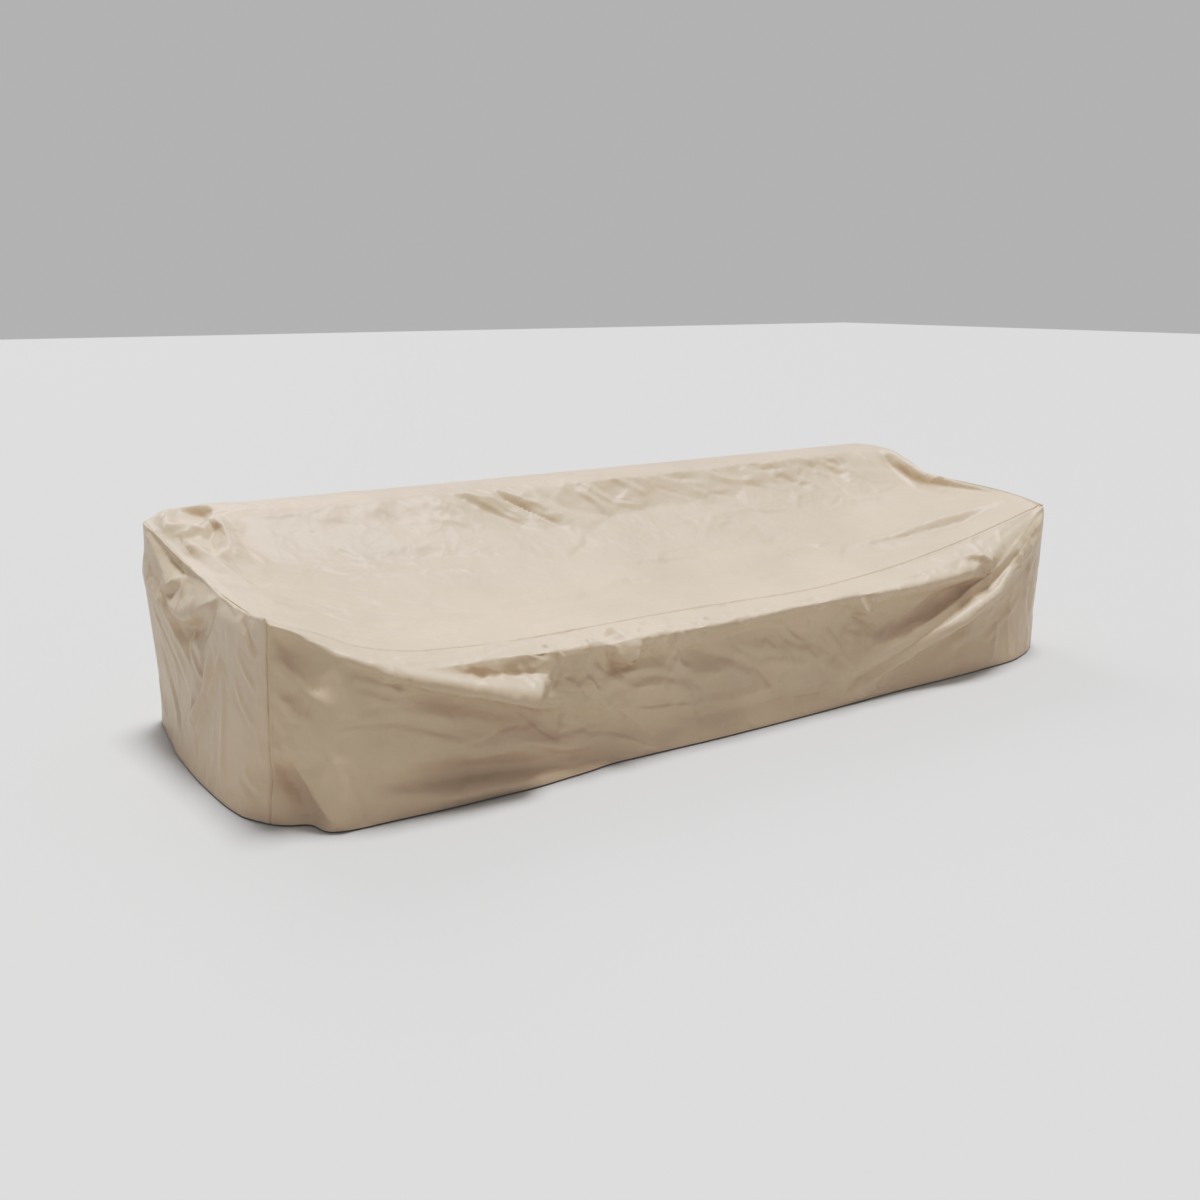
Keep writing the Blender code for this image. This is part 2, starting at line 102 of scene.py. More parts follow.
FRONT_SECTIONS = metres((
    # x   x_hem lip_y lip_z tuck_y tuck_z crest_y crest_z skirt_y skirt_z hem_y
    (-1333, -1349, -404, 485, -398, 420, -392, 320, -384, 160, -373),
    (-1285, -1296, -402, 464, -398, 405, -404, 300, -414, 140, -425),
    (-1225, -1240, -416, 430, -428, 405, -442, 350, -482, 150, -492),
    (-1180, -1190, -424, 410, -442, 400, -458, 386, -490, 200, -506),
    (-1100, -1100, -435, 378, -464, 372, -488, 356, -498, 200, -511),
    (-990, -990, -450, 350, -482, 338, -510, 319, -502, 180, -517),
    (-870, -870, -465, 340, -486, 310, -524, 280, -500, 160, -518),
    (-740, -740, -480, 334, -486, 292, -528, 238, -498, 130, -519),
    (-620, -620, -492, 328, -494, 270, -510, 205, -496, 110, -518),
    (-420, -420, -494, 323, -486, 256, -490, 180, -486, 90, -502),
    (-100, -100, -494, 321, -478, 252, -484, 150, -488, 70, -510),
    (180, 180, -494, 328, -474, 250, -486, 120, -498, 50, -508),
    (400, 400, -494, 328, -470, 236, -496, 105, -498, 45, -503),
    (590, 590, -494, 323, -470, 222, -510, 142, -488, 70, -497),
    (790, 790, -491, 331, -468, 256, -516, 195, -480, 110, -498),
    (900, 900, -485, 340, -466, 286, -516, 224, -476, 130, -497),
    (980, 985, -470, 354, -468, 314, -506, 252, -474, 150, -494),
    (1090, 1105, -434, 394, -448, 368, -480, 322, -462, 200, -489),
    (1200, 1225, -412, 434, -424, 418, -448, 388, -438, 240, -458),
    (1290, 1320, -402, 466, -410, 456, -422, 438, -412, 260, -408),
    (1332, 1385, -402, 490, -404, 478, -404, 455, -386, 250, -352),
))
END_HEIGHTS = metres((440, 340, 230, 110, 0))
LEFT_SECTIONS = metres((
    # seam_y arm elbow waist skirt hem hem_y
    (-310, 1350, 1354, 1362, 1378, 1393, -286),
    (-180, 1362, 1368, 1380, 1398, 1413, -152),
    (-20, 1376, 1380, 1388, 1406, 1423, 20),
    (110, 1388, 1388, 1392, 1408, 1424, 150),
    (230, 1406, 1402, 1398, 1402, 1416, 270),
    (330, 1418, 1411, 1402, 1398, 1406, 380),
    (410, 1418, 1411, 1402, 1396, 1399, 448),
    (455, 1404, 1400, 1394, 1388, 1386, 492),
))
RIGHT_SECTIONS = metres((
    # seam_y arm elbow waist skirt hem hem_y
    (-310, 1360, 1368, 1384, 1400, 1410, -260),
    (-180, 1372, 1382, 1396, 1410, 1420, -130),
    (-20, 1382, 1390, 1400, 1414, 1424, 10),
    (110, 1390, 1394, 1398, 1410, 1422, 150),
    (230, 1396, 1396, 1396, 1404, 1414, 270),
    (330, 1400, 1397, 1394, 1398, 1406, 370),
    (410, 1398, 1395, 1392, 1396, 1400, 445),
    (465, 1384, 1384, 1383, 1386, 1390, 495),
))
BACK_HEIGHTS = metres((530, 400, 270, 130, 0))
BACK_SECTIONS = metres((
    # x  collar upper waist skirt hem
    (1290, 500, 500, 500, 504, 510),
    (980, 502, 502, 506, 512, 520),
    (620, 502, 504, 500, 504, 512),
    (240, 502, 502, 507, 513, 520),
    (-200, 502, 504, 501, 505, 514),
    (-640, 502, 502, 507, 511, 519),
    (-1000, 502, 503, 501, 503, 512),
    (-1280, 498, 499, 501, 505, 511),
))
HANG_SPREAD = (0.0, 0.2, 0.38, 0.56, 0.78, 1.0)  # where the named lines of a hanging panel lie down it

FOLDS = {
    # name: (height, half width, (x, y, z), ...)
    # Back corner at the left end: slack cloth gathered beside the end of the backrest.
    "corner_hollow": (-12, 40, (-1370, 430, 600), (-1300, 410, 600), (-1230, 370, 600), (-1210, 300, 580)),
    "corner_curl": (4, 22, (-1370, 340, 570), (-1320, 300, 560), (-1260, 220, 540), (-1170, 150, 500)),
    "corner_valley": (-6, 24, (-1330, 310, 570), (-1350, 220, 540), (-1370, 120, 520)),
    "back_end_ridge": (6, 22, (-1200, 330, 600), (-1195, 260, 570), (-1230, 180, 530)),
    # Seat and backrest.
    "seat_sag": (-10, 90, (-800, -100, 390), (-200, -130, 370), (350, -100, 370)),
    "arm_fold": (15, 24, (1300, -200, 500), (1050, -190, 460), (850, -180, 410), (600, -150, 380)),
    "arm_trough": (-18, 26, (1240, -270, 470), (1020, -260, 430), (820, -240, 390), (620, -220, 370)),
    "right_valley": (-10, 30, (1300, 340, 590), (1290, 180, 500), (1270, 20, 490), (1250, -140, 480)),
    "backrest_slit_1": (-4, 20, (-560, 350, 600), (-430, 250, 550), (-320, 140, 480)),
    "backrest_slit_2": (-4, 20, (-460, 360, 600), (-350, 260, 560), (-220, 140, 480)),
    "backrest_slit_3": (-3, 20, (-340, 360, 600), (-240, 280, 570), (-100, 180, 500)),
    "backrest_hollow": (-4, 35, (-300, 310, 590), (150, 290, 580), (600, 300, 590), (950, 290, 580)),
    # Front.
    "lip_dart_left": (10, 28, (-430, -380, 350), (-430, -470, 330), (-420, -510, 290), (-420, -490, 240)),
    "lip_dart_right": (6, 24, (360, -400, 340), (375, -480, 330), (390, -490, 270)),
    "left_crest": (6, 18, (-1320, -400, 480), (-1200, -450, 405), (-1100, -488, 356), (-990, -510, 319),
        (-870, -524, 280), (-680, -520, 225)),
    "right_crest": (4, 18, (1320, -400, 465), (1200, -448, 388), (1090, -480, 322), (980, -506, 252),
        (790, -516, 195), (590, -510, 142), (300, -490, 50)),
    "hem_fold": (-23, 32, (-1180, -500, 100), (-980, -510, 85), (-760, -510, 62), (-550, -500, 40),
        (-380, -500, 0)),
    "hem_strip": (12, 24, (-1050, -510, 30), (-800, -510, 20), (-600, -500, 0)),
    "upper_trough": (-18, 32, (-1120, -500, 285), (-960, -500, 265), (-800, -500, 200),
        (-600, -500, 145), (-360, -490, 110)),
    "corner_fold": (-30, 36, (-1360, -380, 160), (-1290, -420, 75), (-1255, -450, -40)),
    "arm_front_streak": (6, 30, (-1330, -400, 420), (-1260, -420, 330), (-1180, -480, 240)),
    "arm_front_pocket": (-8, 28, (-1310, -400, 460), (-1260, -410, 400), (-1200, -450, 330)),
    "right_second_crest": (6, 22, (1330, -410, 330), (1120, -470, 240), (930, -490, 140), (700, -490, 45)),
    "right_wedge": (-8, 24, (1300, -420, 380), (1080, -460, 270), (860, -490, 160), (700, -490, 110)),
    # Left end.
    "end_ridge_long": (8, 22, (-1400, 440, 520), (-1400, 300, 370), (-1390, 140, 240), (-1380, 40, 180)),
    "end_arc": (10, 26, (-1400, 340, 450), (-1390, 220, 400), (-1375, 100, 405), (-1360, -20, 460)),
    "end_pocket": (-14, 26, (-1385, 200, 350), (-1375, 60, 365), (-1360, -60, 420)),
    "end_curved_ridge": (14, 24, (-1370, -80, 360), (-1380, -50, 250), (-1390, 10, 180), (-1400, 90, 90)),
    # Right end and back: plain slack folds of the same kind.
    "right_end_fold": (18, 35, (1370, 380, 540), (1390, 200, 340), (1400, 0, 120)),
    "right_end_trough": (-16, 35, (1370, 160, 480), (1390, 0, 300), (1400, -180, 80)),
    "back_fold_left": (16, 45, (-1340, 500, 570), (-1080, 500, 340), (-880, 510, 60)),
    "back_fold_right": (16, 45, (1320, 500, 570), (1050, 500, 360), (880, 510, 80)),
    "back_trough": (-14, 60, (-400, 500, 420), (0, 500, 300), (400, 500, 260)),
}
FADE = 0.30  # the share of a fold's length, at each end, over which it fades out

# --- The looks: creases, facets, wrinkles, seams and hem ---

# Creases, in each panel's own two directions. A trough's height is negative. The two widths are how far
# each side of the crease reaches: the first on the left of its path.
# (height, left, right, (x, y), ...) on the top panel
TOP_CREASES = (
    # Slits and fans on the slope of the backrest.
    (4, 16, 8, (-640, 330), (-580, 295), (-500, 265)),
    (5, 12, 8, (-100, 320), (-40, 270), (40, 230), (130, 215)),
    (4, 10, 8, (20, 325), (90, 285), (160, 240)),
    (-4, 12, 8, (200, 330), (260, 300), (330, 285), (420, 270)),
    (4, 10, 10, (400, 315), (480, 270), (580, 255), (660, 250)),
    (-4, 12, 9, (560, 325), (640, 290), (740, 285), (820, 270)),
    (-5, 11, 11, (840, 305), (910, 275), (970, 300), (1030, 270), (1090, 285)),
    (-4, 8, 14, (990, 315), (1030, 265), (1060, 225)),
    (3, 9, 9, (1040, 270), (1090, 200), (1100, 110)),
    (3, 8, 8, (-1180, 315), (-1050, 300), (-900, 312), (-700, 318)),
    # Right arm: faint folds towards the corner.
    (3, 12, 8, (1300, -180), (1180, -130), (1020, -100), (880, -70)),
    (-3, 8, 12, (1280, -215), (1140, -165), (1000, -135)),
    (4, 18, 14, (860, 125), (1050, 100), (1240, 40)),
    (4.5, 40, 20, (50, -150), (280, -120), (500, -100), (740, -105)),
    (-3.5, 30, 24, (-100, -60), (160, -45), (420, -30), (660, -20)),
    (3.5, 30, 20, (-1000, 140), (-780, 155), (-520, 125), (-300, 120)),
    # Seat.
    (3, 10, 6, (-1100, 45), (-900, 65), (-720, 60), (-520, 28), (-340, 30)),
    (5, 40, 14, (-680, -125), (-500, -138), (-380, -140), (-280, -128), (-190, -95), (-50, -110),
     (100, -120)),
    (4.4, 16, 10, (-1130, -35), (-1020, -100), (-920, -145), (-800, -185)),
    (-4, 18, 12, (-1020, 15), (-900, -45), (-780, -120), (-700, -150)),
    (3.6, 14, 12, (-1140, -70), (-1020, -175), (-880, -240)),
    # The gathered back corner at the left end.
    (4, 9, 9, (-1235, 225), (-1190, 190), (-1150, 130)),
    (3, 10, 8, (-1340, 60), (-1280, -30), (-1220, -130)),
    (-3, 8, 12, (-1330, 10), (-1260, -90), (-1190, -200)),
)
# (height, left, right, (x, down), ...) on the front panel, where down is the way down the cloth
FRONT_CREASES = (
    # Left crest, its tip and the pockets around it.
    (5, 12, 10, (-1020, 105), (-900, 95), (-800, 98)),
    (3, 9, 7, (-900, 115), (-870, 155), (-840, 195)),
    (3, 7, 9, (-750, 120), (-740, 165), (-720, 205)),
    # Troughs and light ridges under the crest.
    (-6, 22, 14, (-1130, 185), (-1020, 178), (-900, 200), (-780, 255), (-660, 315), (-520, 350),
     (-380, 385)),
    (4, 26, 22, (-1100, 240), (-960, 300), (-800, 345), (-620, 375), (-460, 392)),
    (-4, 16, 12, (-700, 285), (-580, 325), (-440, 355), (-320, 385)),
    (3, 14, 14, (-1180, 150), (-1060, 200), (-920, 245), (-760, 300)),
    # The slack fold above the hem, and the light strip under it.
    (-6, 14, 26, (-1210, 405), (-1100, 388), (-960, 388), (-840, 400), (-680, 415), (-520, 428),
     (-380, 440)),
    (5, 9, 10, (-1020, 440), (-920, 432), (-840, 438), (-740, 456)),
    # Middle: crumples between the two crests.
    (7, 16, 14, (-470, 245), (-380, 250), (-280, 275), (-180, 300)),
    (-6, 14, 16, (-550, 215), (-460, 190), (-360, 175), (-280, 190)),
    (5, 10, 10, (-600, 130), (-570, 190), (-520, 245), (-490, 300)),
    (-5, 9, 12, (-530, 130), (-500, 180), (-440, 215)),
    (4, 12, 8, (-320, 150), (-270, 205), (-200, 240)),
    (-5, 12, 12, (-250, 160), (-160, 200), (-60, 235), (20, 285)),
    (4, 10, 10, (-120, 165), (-60, 215), (20, 262), (140, 282), (240, 312)),
    (-3, 10, 10, (120, 170), (200, 225), (280, 270), (360, 355)),
    (4, 9, 9, (280, 200), (330, 270), (370, 345)),
    (-4, 22, 18, (-280, 360), (-80, 380), (120, 375), (300, 360)),
    (3, 14, 14, (-240, 330), (-40, 345), (140, 335)),
    # Right: the wedge under the lip, the hook at its end and the two crests.
    (-10, 20, 24, (980, 155), (860, 185), (720, 215), (560, 240), (440, 255)),
    (7, 7, 9, (890, 60), (945, 85), (985, 125), (985, 165), (930, 205)),
    (-6, 8, 7, (900, 80), (935, 100), (960, 130), (955, 155)),
    (4, 9, 9, (1200, 270), (1120, 315), (1050, 355), (980, 405)),
    (3, 8, 8, (1100, 330), (1060, 375), (1020, 420)),
    (4, 10, 10, (1310, 90), (1250, 170), (1220, 260), (1220, 350)),
    (-4, 10, 10, (1330, 140), (1280, 220), (1260, 320), (1270, 420)),
    (3, 9, 7, (1120, 20), (1090, 55), (1080, 90)),
    (3, 7, 9, (680, 50), (700, 85), (700, 120)),
    # Left corner of the front.
    (5, 14, 12, (-1335, 95), (-1290, 125), (-1250, 160), (-1210, 200)),
    (4, 12, 12, (-1335, 170), (-1290, 205), (-1265, 250), (-1250, 310)),
    (-6, 14, 12, (-1325, 30), (-1290, 70), (-1265, 120), (-1230, 170)),
    (4, 10, 18, (-1200, 230), (-1215, 320), (-1222, 410), (-1220, 475)),
    (6, 9, 26, (-1320, 270), (-1290, 340), (-1262, 400), (-1222, 480)),
    (-7, 14, 10, (-1350, 350), (-1312, 400), (-1270, 440), (-1240, 490)),
    (4, 8, 8, (-1345, 300), (-1310, 330), (-1270, 380)),
)
# (height, left, right, (y, z), ...) on the left end
LEFT_CREASES = (
    (-6, 12, 12, (-120, 480), (-80, 425), (-15, 355), (-10, 295)),
    (5, 8, 8, (400, 450), (340, 375), (280, 300), (200, 235), (120, 190)),
    (6, 9, 14, (-152, 400), (-135, 340), (-105, 280), (-60, 205), (-10, 140), (50, 80)),
    (5, 14, 12, (-150, 330), (-165, 240), (-180, 140), (-195, 20)),
    (-7, 16, 14, (-20, 350), (-20, 280), (20, 210), (70, 160)),
    (-7, 12, 12, (-260, 470), (-310, 445), (-360, 400)),
    (4, 9, 9, (-240, 400), (-290, 350), (-350, 310)),
    (3, 9, 9, (-220, 330), (-270, 270), (-340, 220)),
    (4, 8, 8, (-290, 125), (-320, 95), (-365, 70)),
    (-4, 8, 8, (-270, 90), (-320, 65), (-360, 40)),
    (4, 10, 10, (300, 180), (220, 110), (120, 40)),
    (-4, 12, 12, (360, 300), (300, 200), (220, 130), (120, 80)),
    (4, 9, 9, (100, 330), (20, 270), (-50, 240)),
    (3, 8, 8, (90, 200), (30, 120), (-10, 30)),
    (4, 7, 7, (-100, 500), (-180, 488), (-240, 470)),
)
# (height, left, right, (y, z), ...) on the right end, which the photo doesn't show
RIGHT_CREASES = (
    (6, 14, 10, (400, 520), (300, 430), (180, 330), (50, 240)),
    (-6, 12, 12, (360, 460), (240, 350), (100, 250)),
    (5, 10, 12, (300, 500), (160, 440), (20, 430), (-120, 460)),
    (5, 12, 10, (-300, 440), (-180, 330), (-80, 200), (20, 60)),
    (-5, 14, 12, (-200, 420), (-80, 300), (20, 160)),
    (4, 10, 12, (-320, 280), (-240, 160), (-200, 20)),
    (4, 12, 12, (420, 300), (300, 180), (220, 40)),
)
# (height, left, right, (x, z), ...) on the back, which the photo doesn't show
BACK_CREASES = (
    (6, 18, 14, (-1330, 550), (-1180, 430), (-1020, 280), (-920, 100)),
    (-5, 16, 16, (-1300, 480), (-1140, 340), (-1020, 160)),
    (5, 14, 18, (1310, 550), (1150, 420), (1020, 280), (920, 100)),
    (-5, 14, 14, (1270, 470), (1120, 340), (1000, 160)),
    (4, 20, 16, (-750, 560), (-620, 400), (-600, 220), (-640, 40)),
    (4, 16, 20, (-100, 570), (-20, 420), (20, 240), (0, 50)),
    (4, 16, 18, (580, 570), (600, 400), (550, 220), (580, 50)),
    (-4, 30, 24, (-500, 300), (-250, 240), (50, 230), (350, 270)),
    (3, 14, 14, (-950, 520), (-800, 470), (-660, 460)),
    (3, 14, 14, (200, 500), (340, 440), (520, 430)),
)
CREASES = {
    "top_panel": TOP_CREASES,
    "front_panel": FRONT_CREASES,
    "left_panel": LEFT_CREASES,
    "right_panel": RIGHT_CREASES,
    "back_panel": BACK_CREASES,
}

# Patches of flat facets, in the same two directions as the creases. A patch's first row is its border, and
# each later row is a crease line of points (x, y, height), with straight cloth between the lines.

# The gathered back corner at the left end.
GATHERED_CORNER = (
    ((-1450, 520), (-1120, 520), (-1100, 350), (-1120, 120), (-1160, -60), (-1240, -200), (-1420, -200),
     (-1450, 150)),
    ((-1335, 470, 7), (-1345, 420, 18), (-1357, 335, 16), (-1350, 285, 5)),
    ((-1380, 430, -6), (-1380, 370, -8), (-1372, 320, -3)),
    ((-1315, 462, -4), (-1320, 420, -11), (-1326, 350, -12)),
    ((-1290, 478, 4), (-1248, 446, 10), (-1226, 418, 11), (-1222, 385, 8), (-1258, 308, 6)),
    ((-1298, 466, -6), (-1264, 434, -17), (-1248, 408, -18), (-1252, 375, -14), (-1286, 312, -10)),
    ((-1348, 258, 6), (-1330, 273, 14), (-1308, 290, 15), (-1278, 284, 8)),
    ((-1352, 243, -10), (-1326, 256, -8), (-1300, 268, -8)),
    ((-1252, 276, -10), (-1270, 246, -17), (-1276, 206, -14), (-1292, 162, -4)),
    ((-1222, 330, 6), (-1228, 270, 15), (-1238, 206, 18), (-1255, 168, 16), (-1300, 120, 13)),
    ((-1338, 226, 8), (-1320, 175, 15), (-1300, 120, 13), (-1288, 65, 12), (-1268, 20, 10),
     (-1248, -30, 7), (-1225, -95, 2)),
    ((-1352, 200, -9), (-1336, 140, -6), (-1322, 70, -6), (-1300, 0, -6), (-1280, -60, -3)),
    ((-1262, 118, 0), (-1252, 60, -5), (-1225, 0, -4)),
    ((-1205, 300, -5), (-1198, 225, -6), (-1190, 130, 1)),
)
# The slope of the backrest: three slits, and the steeper band with its uneven lower edge.
BACKREST_BAND = (
    ((-800, 350), (-300, 352), (300, 352), (1160, 345), (1160, 150), (500, 150), (-200, 110), (-800, 130)),
    ((-700, 305, 0), (-590, 275, 4), (-520, 245, 5), (-480, 190, 3), (-400, 150, 0)),
    ((-550, 328, 1), (-490, 315, 6), (-450, 293, 10), (-400, 280, 12), (-350, 258, 10), (-300, 225, 5),
     (-262, 192, 0)),
    ((-530, 308, -1), (-490, 290, -5), (-450, 255, -9), (-400, 228, -10), (-350, 196, -7), (-310, 168, -2)),
    ((-400, 330, 2), (-370, 310, 7), (-335, 287, 11), (-290, 260, 12), (-240, 230, 9), (-200, 200, 4),
     (-160, 165, 0)),
    ((-378, 296, -1), (-360, 273, -6), (-325, 245, -9), (-280, 212, -9), (-235, 178, -5), (-205, 150, -1)),
    ((-318, 305, 3), (-285, 282, 7), (-250, 262, 8), (-212, 236, 5), (-172, 205, 1)),
    ((-235, 318, 3), (-150, 308, 9), (-40, 305, 11), (80, 307, 12), (180, 300, 10), (330, 312, 9),
     (480, 305, 10), (600, 318, 7), (780, 305, 9), (900, 315, 7), (1020, 298, 7), (1100, 290, 0)),
    ((-140, 232, -5), (-100, 212, -10), (-30, 195, -13), (30, 222, -10), (90, 200, -13), (170, 232, -10),
     (240, 228, -10), (310, 205, -12), (400, 226, -8), (490, 205, -12), (560, 242, -8), (640, 222, -11),
     (720, 250, -7), (800, 230, -9), (900, 262, -7), (1000, 240, -6), (1080, 225, 0)),
    ((-50, 282, 4), (20, 262, -3), (70, 268, 4), (130, 245, -2)),
    ((250, 285, 6), (300, 262, -3), (360, 270, 5), (440, 250, -3)),
    ((560, 288, 0), (620, 268, 5), (700, 280, -3), (790, 272, 4), (850, 285, -3)),
    ((920, 290, 5), (960, 272, -5), (1010, 268, 4)),
)
# The right end: the fall from the back's end along the arm.
RIGHT_FALL = (
    ((1180, 410), (1450, 410), (1450, -340), (1280, -310), (1220, 0)),
    ((1318, 345, 4), (1330, 275, 14), (1337, 180, 17), (1342, 70, 16), (1346, -60, 13), (1349, -160, 7),
     (1350, -250, 1)),
    ((1296, 338, -2), (1290, 262, -14), (1298, 180, -18), (1308, 80, -18), (1316, -50, -15),
     (1325, -155, -9), (1334, -235, -1)),
)
# The folds on the right arm, towards its front corner.
ARM_FOLDS = (
    ((520, -60), (1000, -60), (1340, -180), (1360, -360), (1000, -340), (520, -260)),
    ((1315, -268, 2), (1200, -234, 9), (1080, -205, 13), (950, -180, 12), (820, -150, 9), (680, -132, 5),
     (570, -130, 1)),
    ((1240, -268, -2), (1120, -244, -6), (990, -218, -9), (870, -198, -9), (730, -180, -6),
     (610, -170, -1)),
    ((1180, -285, 3), (1040, -262, 4), (900, -238, 2)),
)
# The left crest up to its tip, with a steep face below it.
LEFT_CREST = (
    ((-1400, -30), (-480, -30), (-480, 330), (-700, 350), (-1100, 300), (-1320, 180)),
    ((-1280, 28, 1), (-1220, 46, 6), (-1160, 88, 9), (-1080, 126, 12), (-980, 155, 14), (-880, 176, 17),
     (-800, 200, 22), (-738, 222, 30), (-702, 190, 21), (-665, 158, 12), (-622, 128, 4)),
    ((-1215, 68, 0), (-1145, 110, -3), (-1060, 148, -5), (-960, 177, -6), (-865, 198, -6),
     (-788, 223, -6), (-728, 248, -7), (-690, 222, -6), (-648, 184, -3)),
    ((-1160, 52, 3), (-1080, 88, 5), (-1000, 112, 3), (-940, 128, 5), (-880, 138, 0), (-820, 156, 4),
     (-768, 172, 3), (-728, 170, 6)),
    ((-1010, 78, 2), (-930, 86, -2), (-850, 92, 0), (-770, 98, -5), (-690, 100, -5), (-640, 108, -2)),
    ((-800, 126, -1), (-740, 134, 4), (-695, 136, 4)),
)
# The lip's uneven edge with its two darts, and the crests that run down from the right corner.
LIP_AND_RIGHT_CRESTS = (
    ((-620, -30), (1400, -30), (1400, 280), (1160, 420), (500, 480), (100, 460), (-200, 400), (-620, 340)),
    ((-560, 150, 3), (-510, 128, 6), (-478, 130, 3), (-428, 168, 33), (-390, 124, 4), (-370, 116, 9),
     (-330, 130, 7), (-290, 139, 5), (-240, 133, 9), (-190, 143, 5), (-140, 131, 8), (-80, 130, 5),
     (-20, 122, 9), (40, 127, 5), (100, 137, 8), (160, 131, 5), (220, 119, 8), (280, 114, 5),
     (345, 110, 8), (384, 126, 3), (425, 172, 29), (456, 130, 3), (490, 122, 8), (540, 119, 5),
     (600, 126, 8), (660, 124, 5), (730, 134, 8), (800, 141, 5), (870, 144, 9), (930, 150, 8),
     (966, 140, 8), (945, 95, 8), (890, 70, 5)),
    ((-448, 30, -4), (-468, 60, -9), (-474, 100, -6)),
    ((-438, 45, 7), (-444, 76, 8), (-434, 112, -2)),
    ((-405, 60, -1), (-402, 92, -5)),
    ((-475, 172, -7), (-430, 192, -9), (-392, 166, -7)),
    ((345, 55, 2), (385, 90, 0), (408, 118, -6)),
    ((372, 50, -3), (418, 84, -6), (434, 110, -4)),
    ((-350, 80, 2), (-280, 96, -2), (-200, 86, 3), (-120, 96, -2), (-40, 84, 2), (50, 94, -2),
     (130, 86, 3), (210, 84, -2), (300, 76, 2)),
    ((500, 85, -2), (580, 78, 3), (660, 90, -2), (740, 82, 3), (820, 100, -2)),
    ((905, 92, -4), (932, 116, -5), (925, 136, -1)),
    ((-380, 165, -5), (-300, 172, -3), (-210, 180, -6), (-110, 166, -3), (0, 160, -6), (100, 174, -4),
     (200, 160, -6), (300, 150, -5), (380, 176, -6), (430, 198, -9), (480, 180, -7), (560, 170, -6),
     (680, 172, -8), (790, 184, -9), (880, 186, -7)),
    ((1320, 14, 1), (1250, 44, 5), (1180, 76, 8), (1080, 118, 11), (980, 160, 12), (830, 226, 12),
     (690, 270, 11), (510, 316, 9), (370, 356, 6), (230, 412, 1)),
    ((1290, 50, -1), (1180, 102, -5), (1060, 152, -9), (940, 206, -11), (820, 254, -11), (680, 296, -10),
     (530, 338, -8), (390, 378, -4)),
    ((1315, 82, 3), (1180, 134, 8), (1050, 188, 11), (920, 252, 13), (820, 292, 13), (640, 340, 11),
     (460, 392, 7), (330, 430, 2)),
    ((1240, 180, -2), (1040, 268, -8), (860, 334, -10), (680, 384, -8), (500, 432, -2)),
    ((1290, 150, 3), (1200, 250, 6), (1130, 330, 3)),
    ((-560, 290, 2), (-490, 302, 8), (-420, 297, 7), (-340, 278, 3), (-270, 290, 5)),
    ((-510, 258, -5), (-440, 252, -8), (-380, 238, -3)),
    ((-480, 205, 3), (-390, 200, 5), (-310, 218, 6), (-240, 242, 2), (-160, 250, 5), (-80, 272, 2)),
    ((-250, 205, -4), (-160, 218, -5), (-60, 235, -2), (20, 270, -5)),
    ((-20, 205, 3), (60, 232, 5), (150, 250, 3), (230, 290, 5), (280, 330, 1)),
    ((180, 200, -3), (260, 225, -4), (330, 260, -2)),
    ((420, 225, 3), (500, 235, -2), (600, 226, 2)),
    ((-150, 320, -3), (-40, 330, 3), (80, 345, -3)),
)
# The knot of creases below the gathered corner, and the pouch under it.
CORNER_KNOT = (
    ((550, 660), (520, 420), (440, 240), (240, 140), (50, 100), (-120, 160), (-170, 340), (-220, 560)),
    ((420, 560, 3), (360, 548, 6), (300, 517, 7), (228, 484, 5)),
    ((370, 572, -2), (290, 540, -3), (235, 522, -8), (195, 510, -13), (155, 502, -12), (105, 498, -6)),
    ((440, 520, -2), (370, 490, -4), (300, 470, -4), (255, 452, -2)),
    ((150, 488, 1), (172, 475, 8), (196, 458, 9), (240, 440, 4)),
    ((115, 470, 3), (140, 462, -4), (172, 440, -4)),
    ((206, 432, 5), (162, 412, 12), (120, 398, 15), (70, 398, 15), (20, 420, 13), (-30, 446, 9),
     (-75, 468, 5), (-105, 486, 1)),
    ((80, 450, 3), (30, 462, 0), (-30, 482, 0)),
    ((150, 372, -1), (110, 368, -7), (60, 368, -9), (15, 388, -9), (-40, 420, -8), (-90, 448, -4),
     (-130, 465, 0)),
    ((420, 452, 1), (330, 438, 4), (250, 412, 9), (218, 378, 9), (182, 327, 8), (130, 300, 6),
     (70, 262, 4), (20, 190, 2)),
    ((400, 400, -3), (300, 370, -5), (240, 335, -4), (200, 280, -3), (130, 230, -1)),
    ((185, 395, -2), (165, 345, -4), (110, 325, -4), (50, 310, -1)),
    ((55, 340, 3), (0, 330, 2), (-60, 310, 3)),
    ((20, 300, -2), (-30, 250, -3), (-20, 200, 0)),
)
FACETS = {
    "top_panel": (GATHERED_CORNER, BACKREST_BAND, RIGHT_FALL, ARM_FOLDS),
    "front_panel": (LEFT_CREST, LIP_AND_RIGHT_CRESTS),
    "left_panel": (CORNER_KNOT,),
}
FACET_ROUND = 0.0036  # how far a facet's edges are rounded
CREASE_FADE = 0.22  # the share of a crease's length, at each end, over which it fades out
CREASE_REACH = 1.8  # how many widths a crease reaches to each side
CREASE_ROUND = 0.12  # how round a crease's top is, as a share of its width
CREASE_FALL = 1.2  # 1 gives a crease flat sides, and more gives it hollow ones

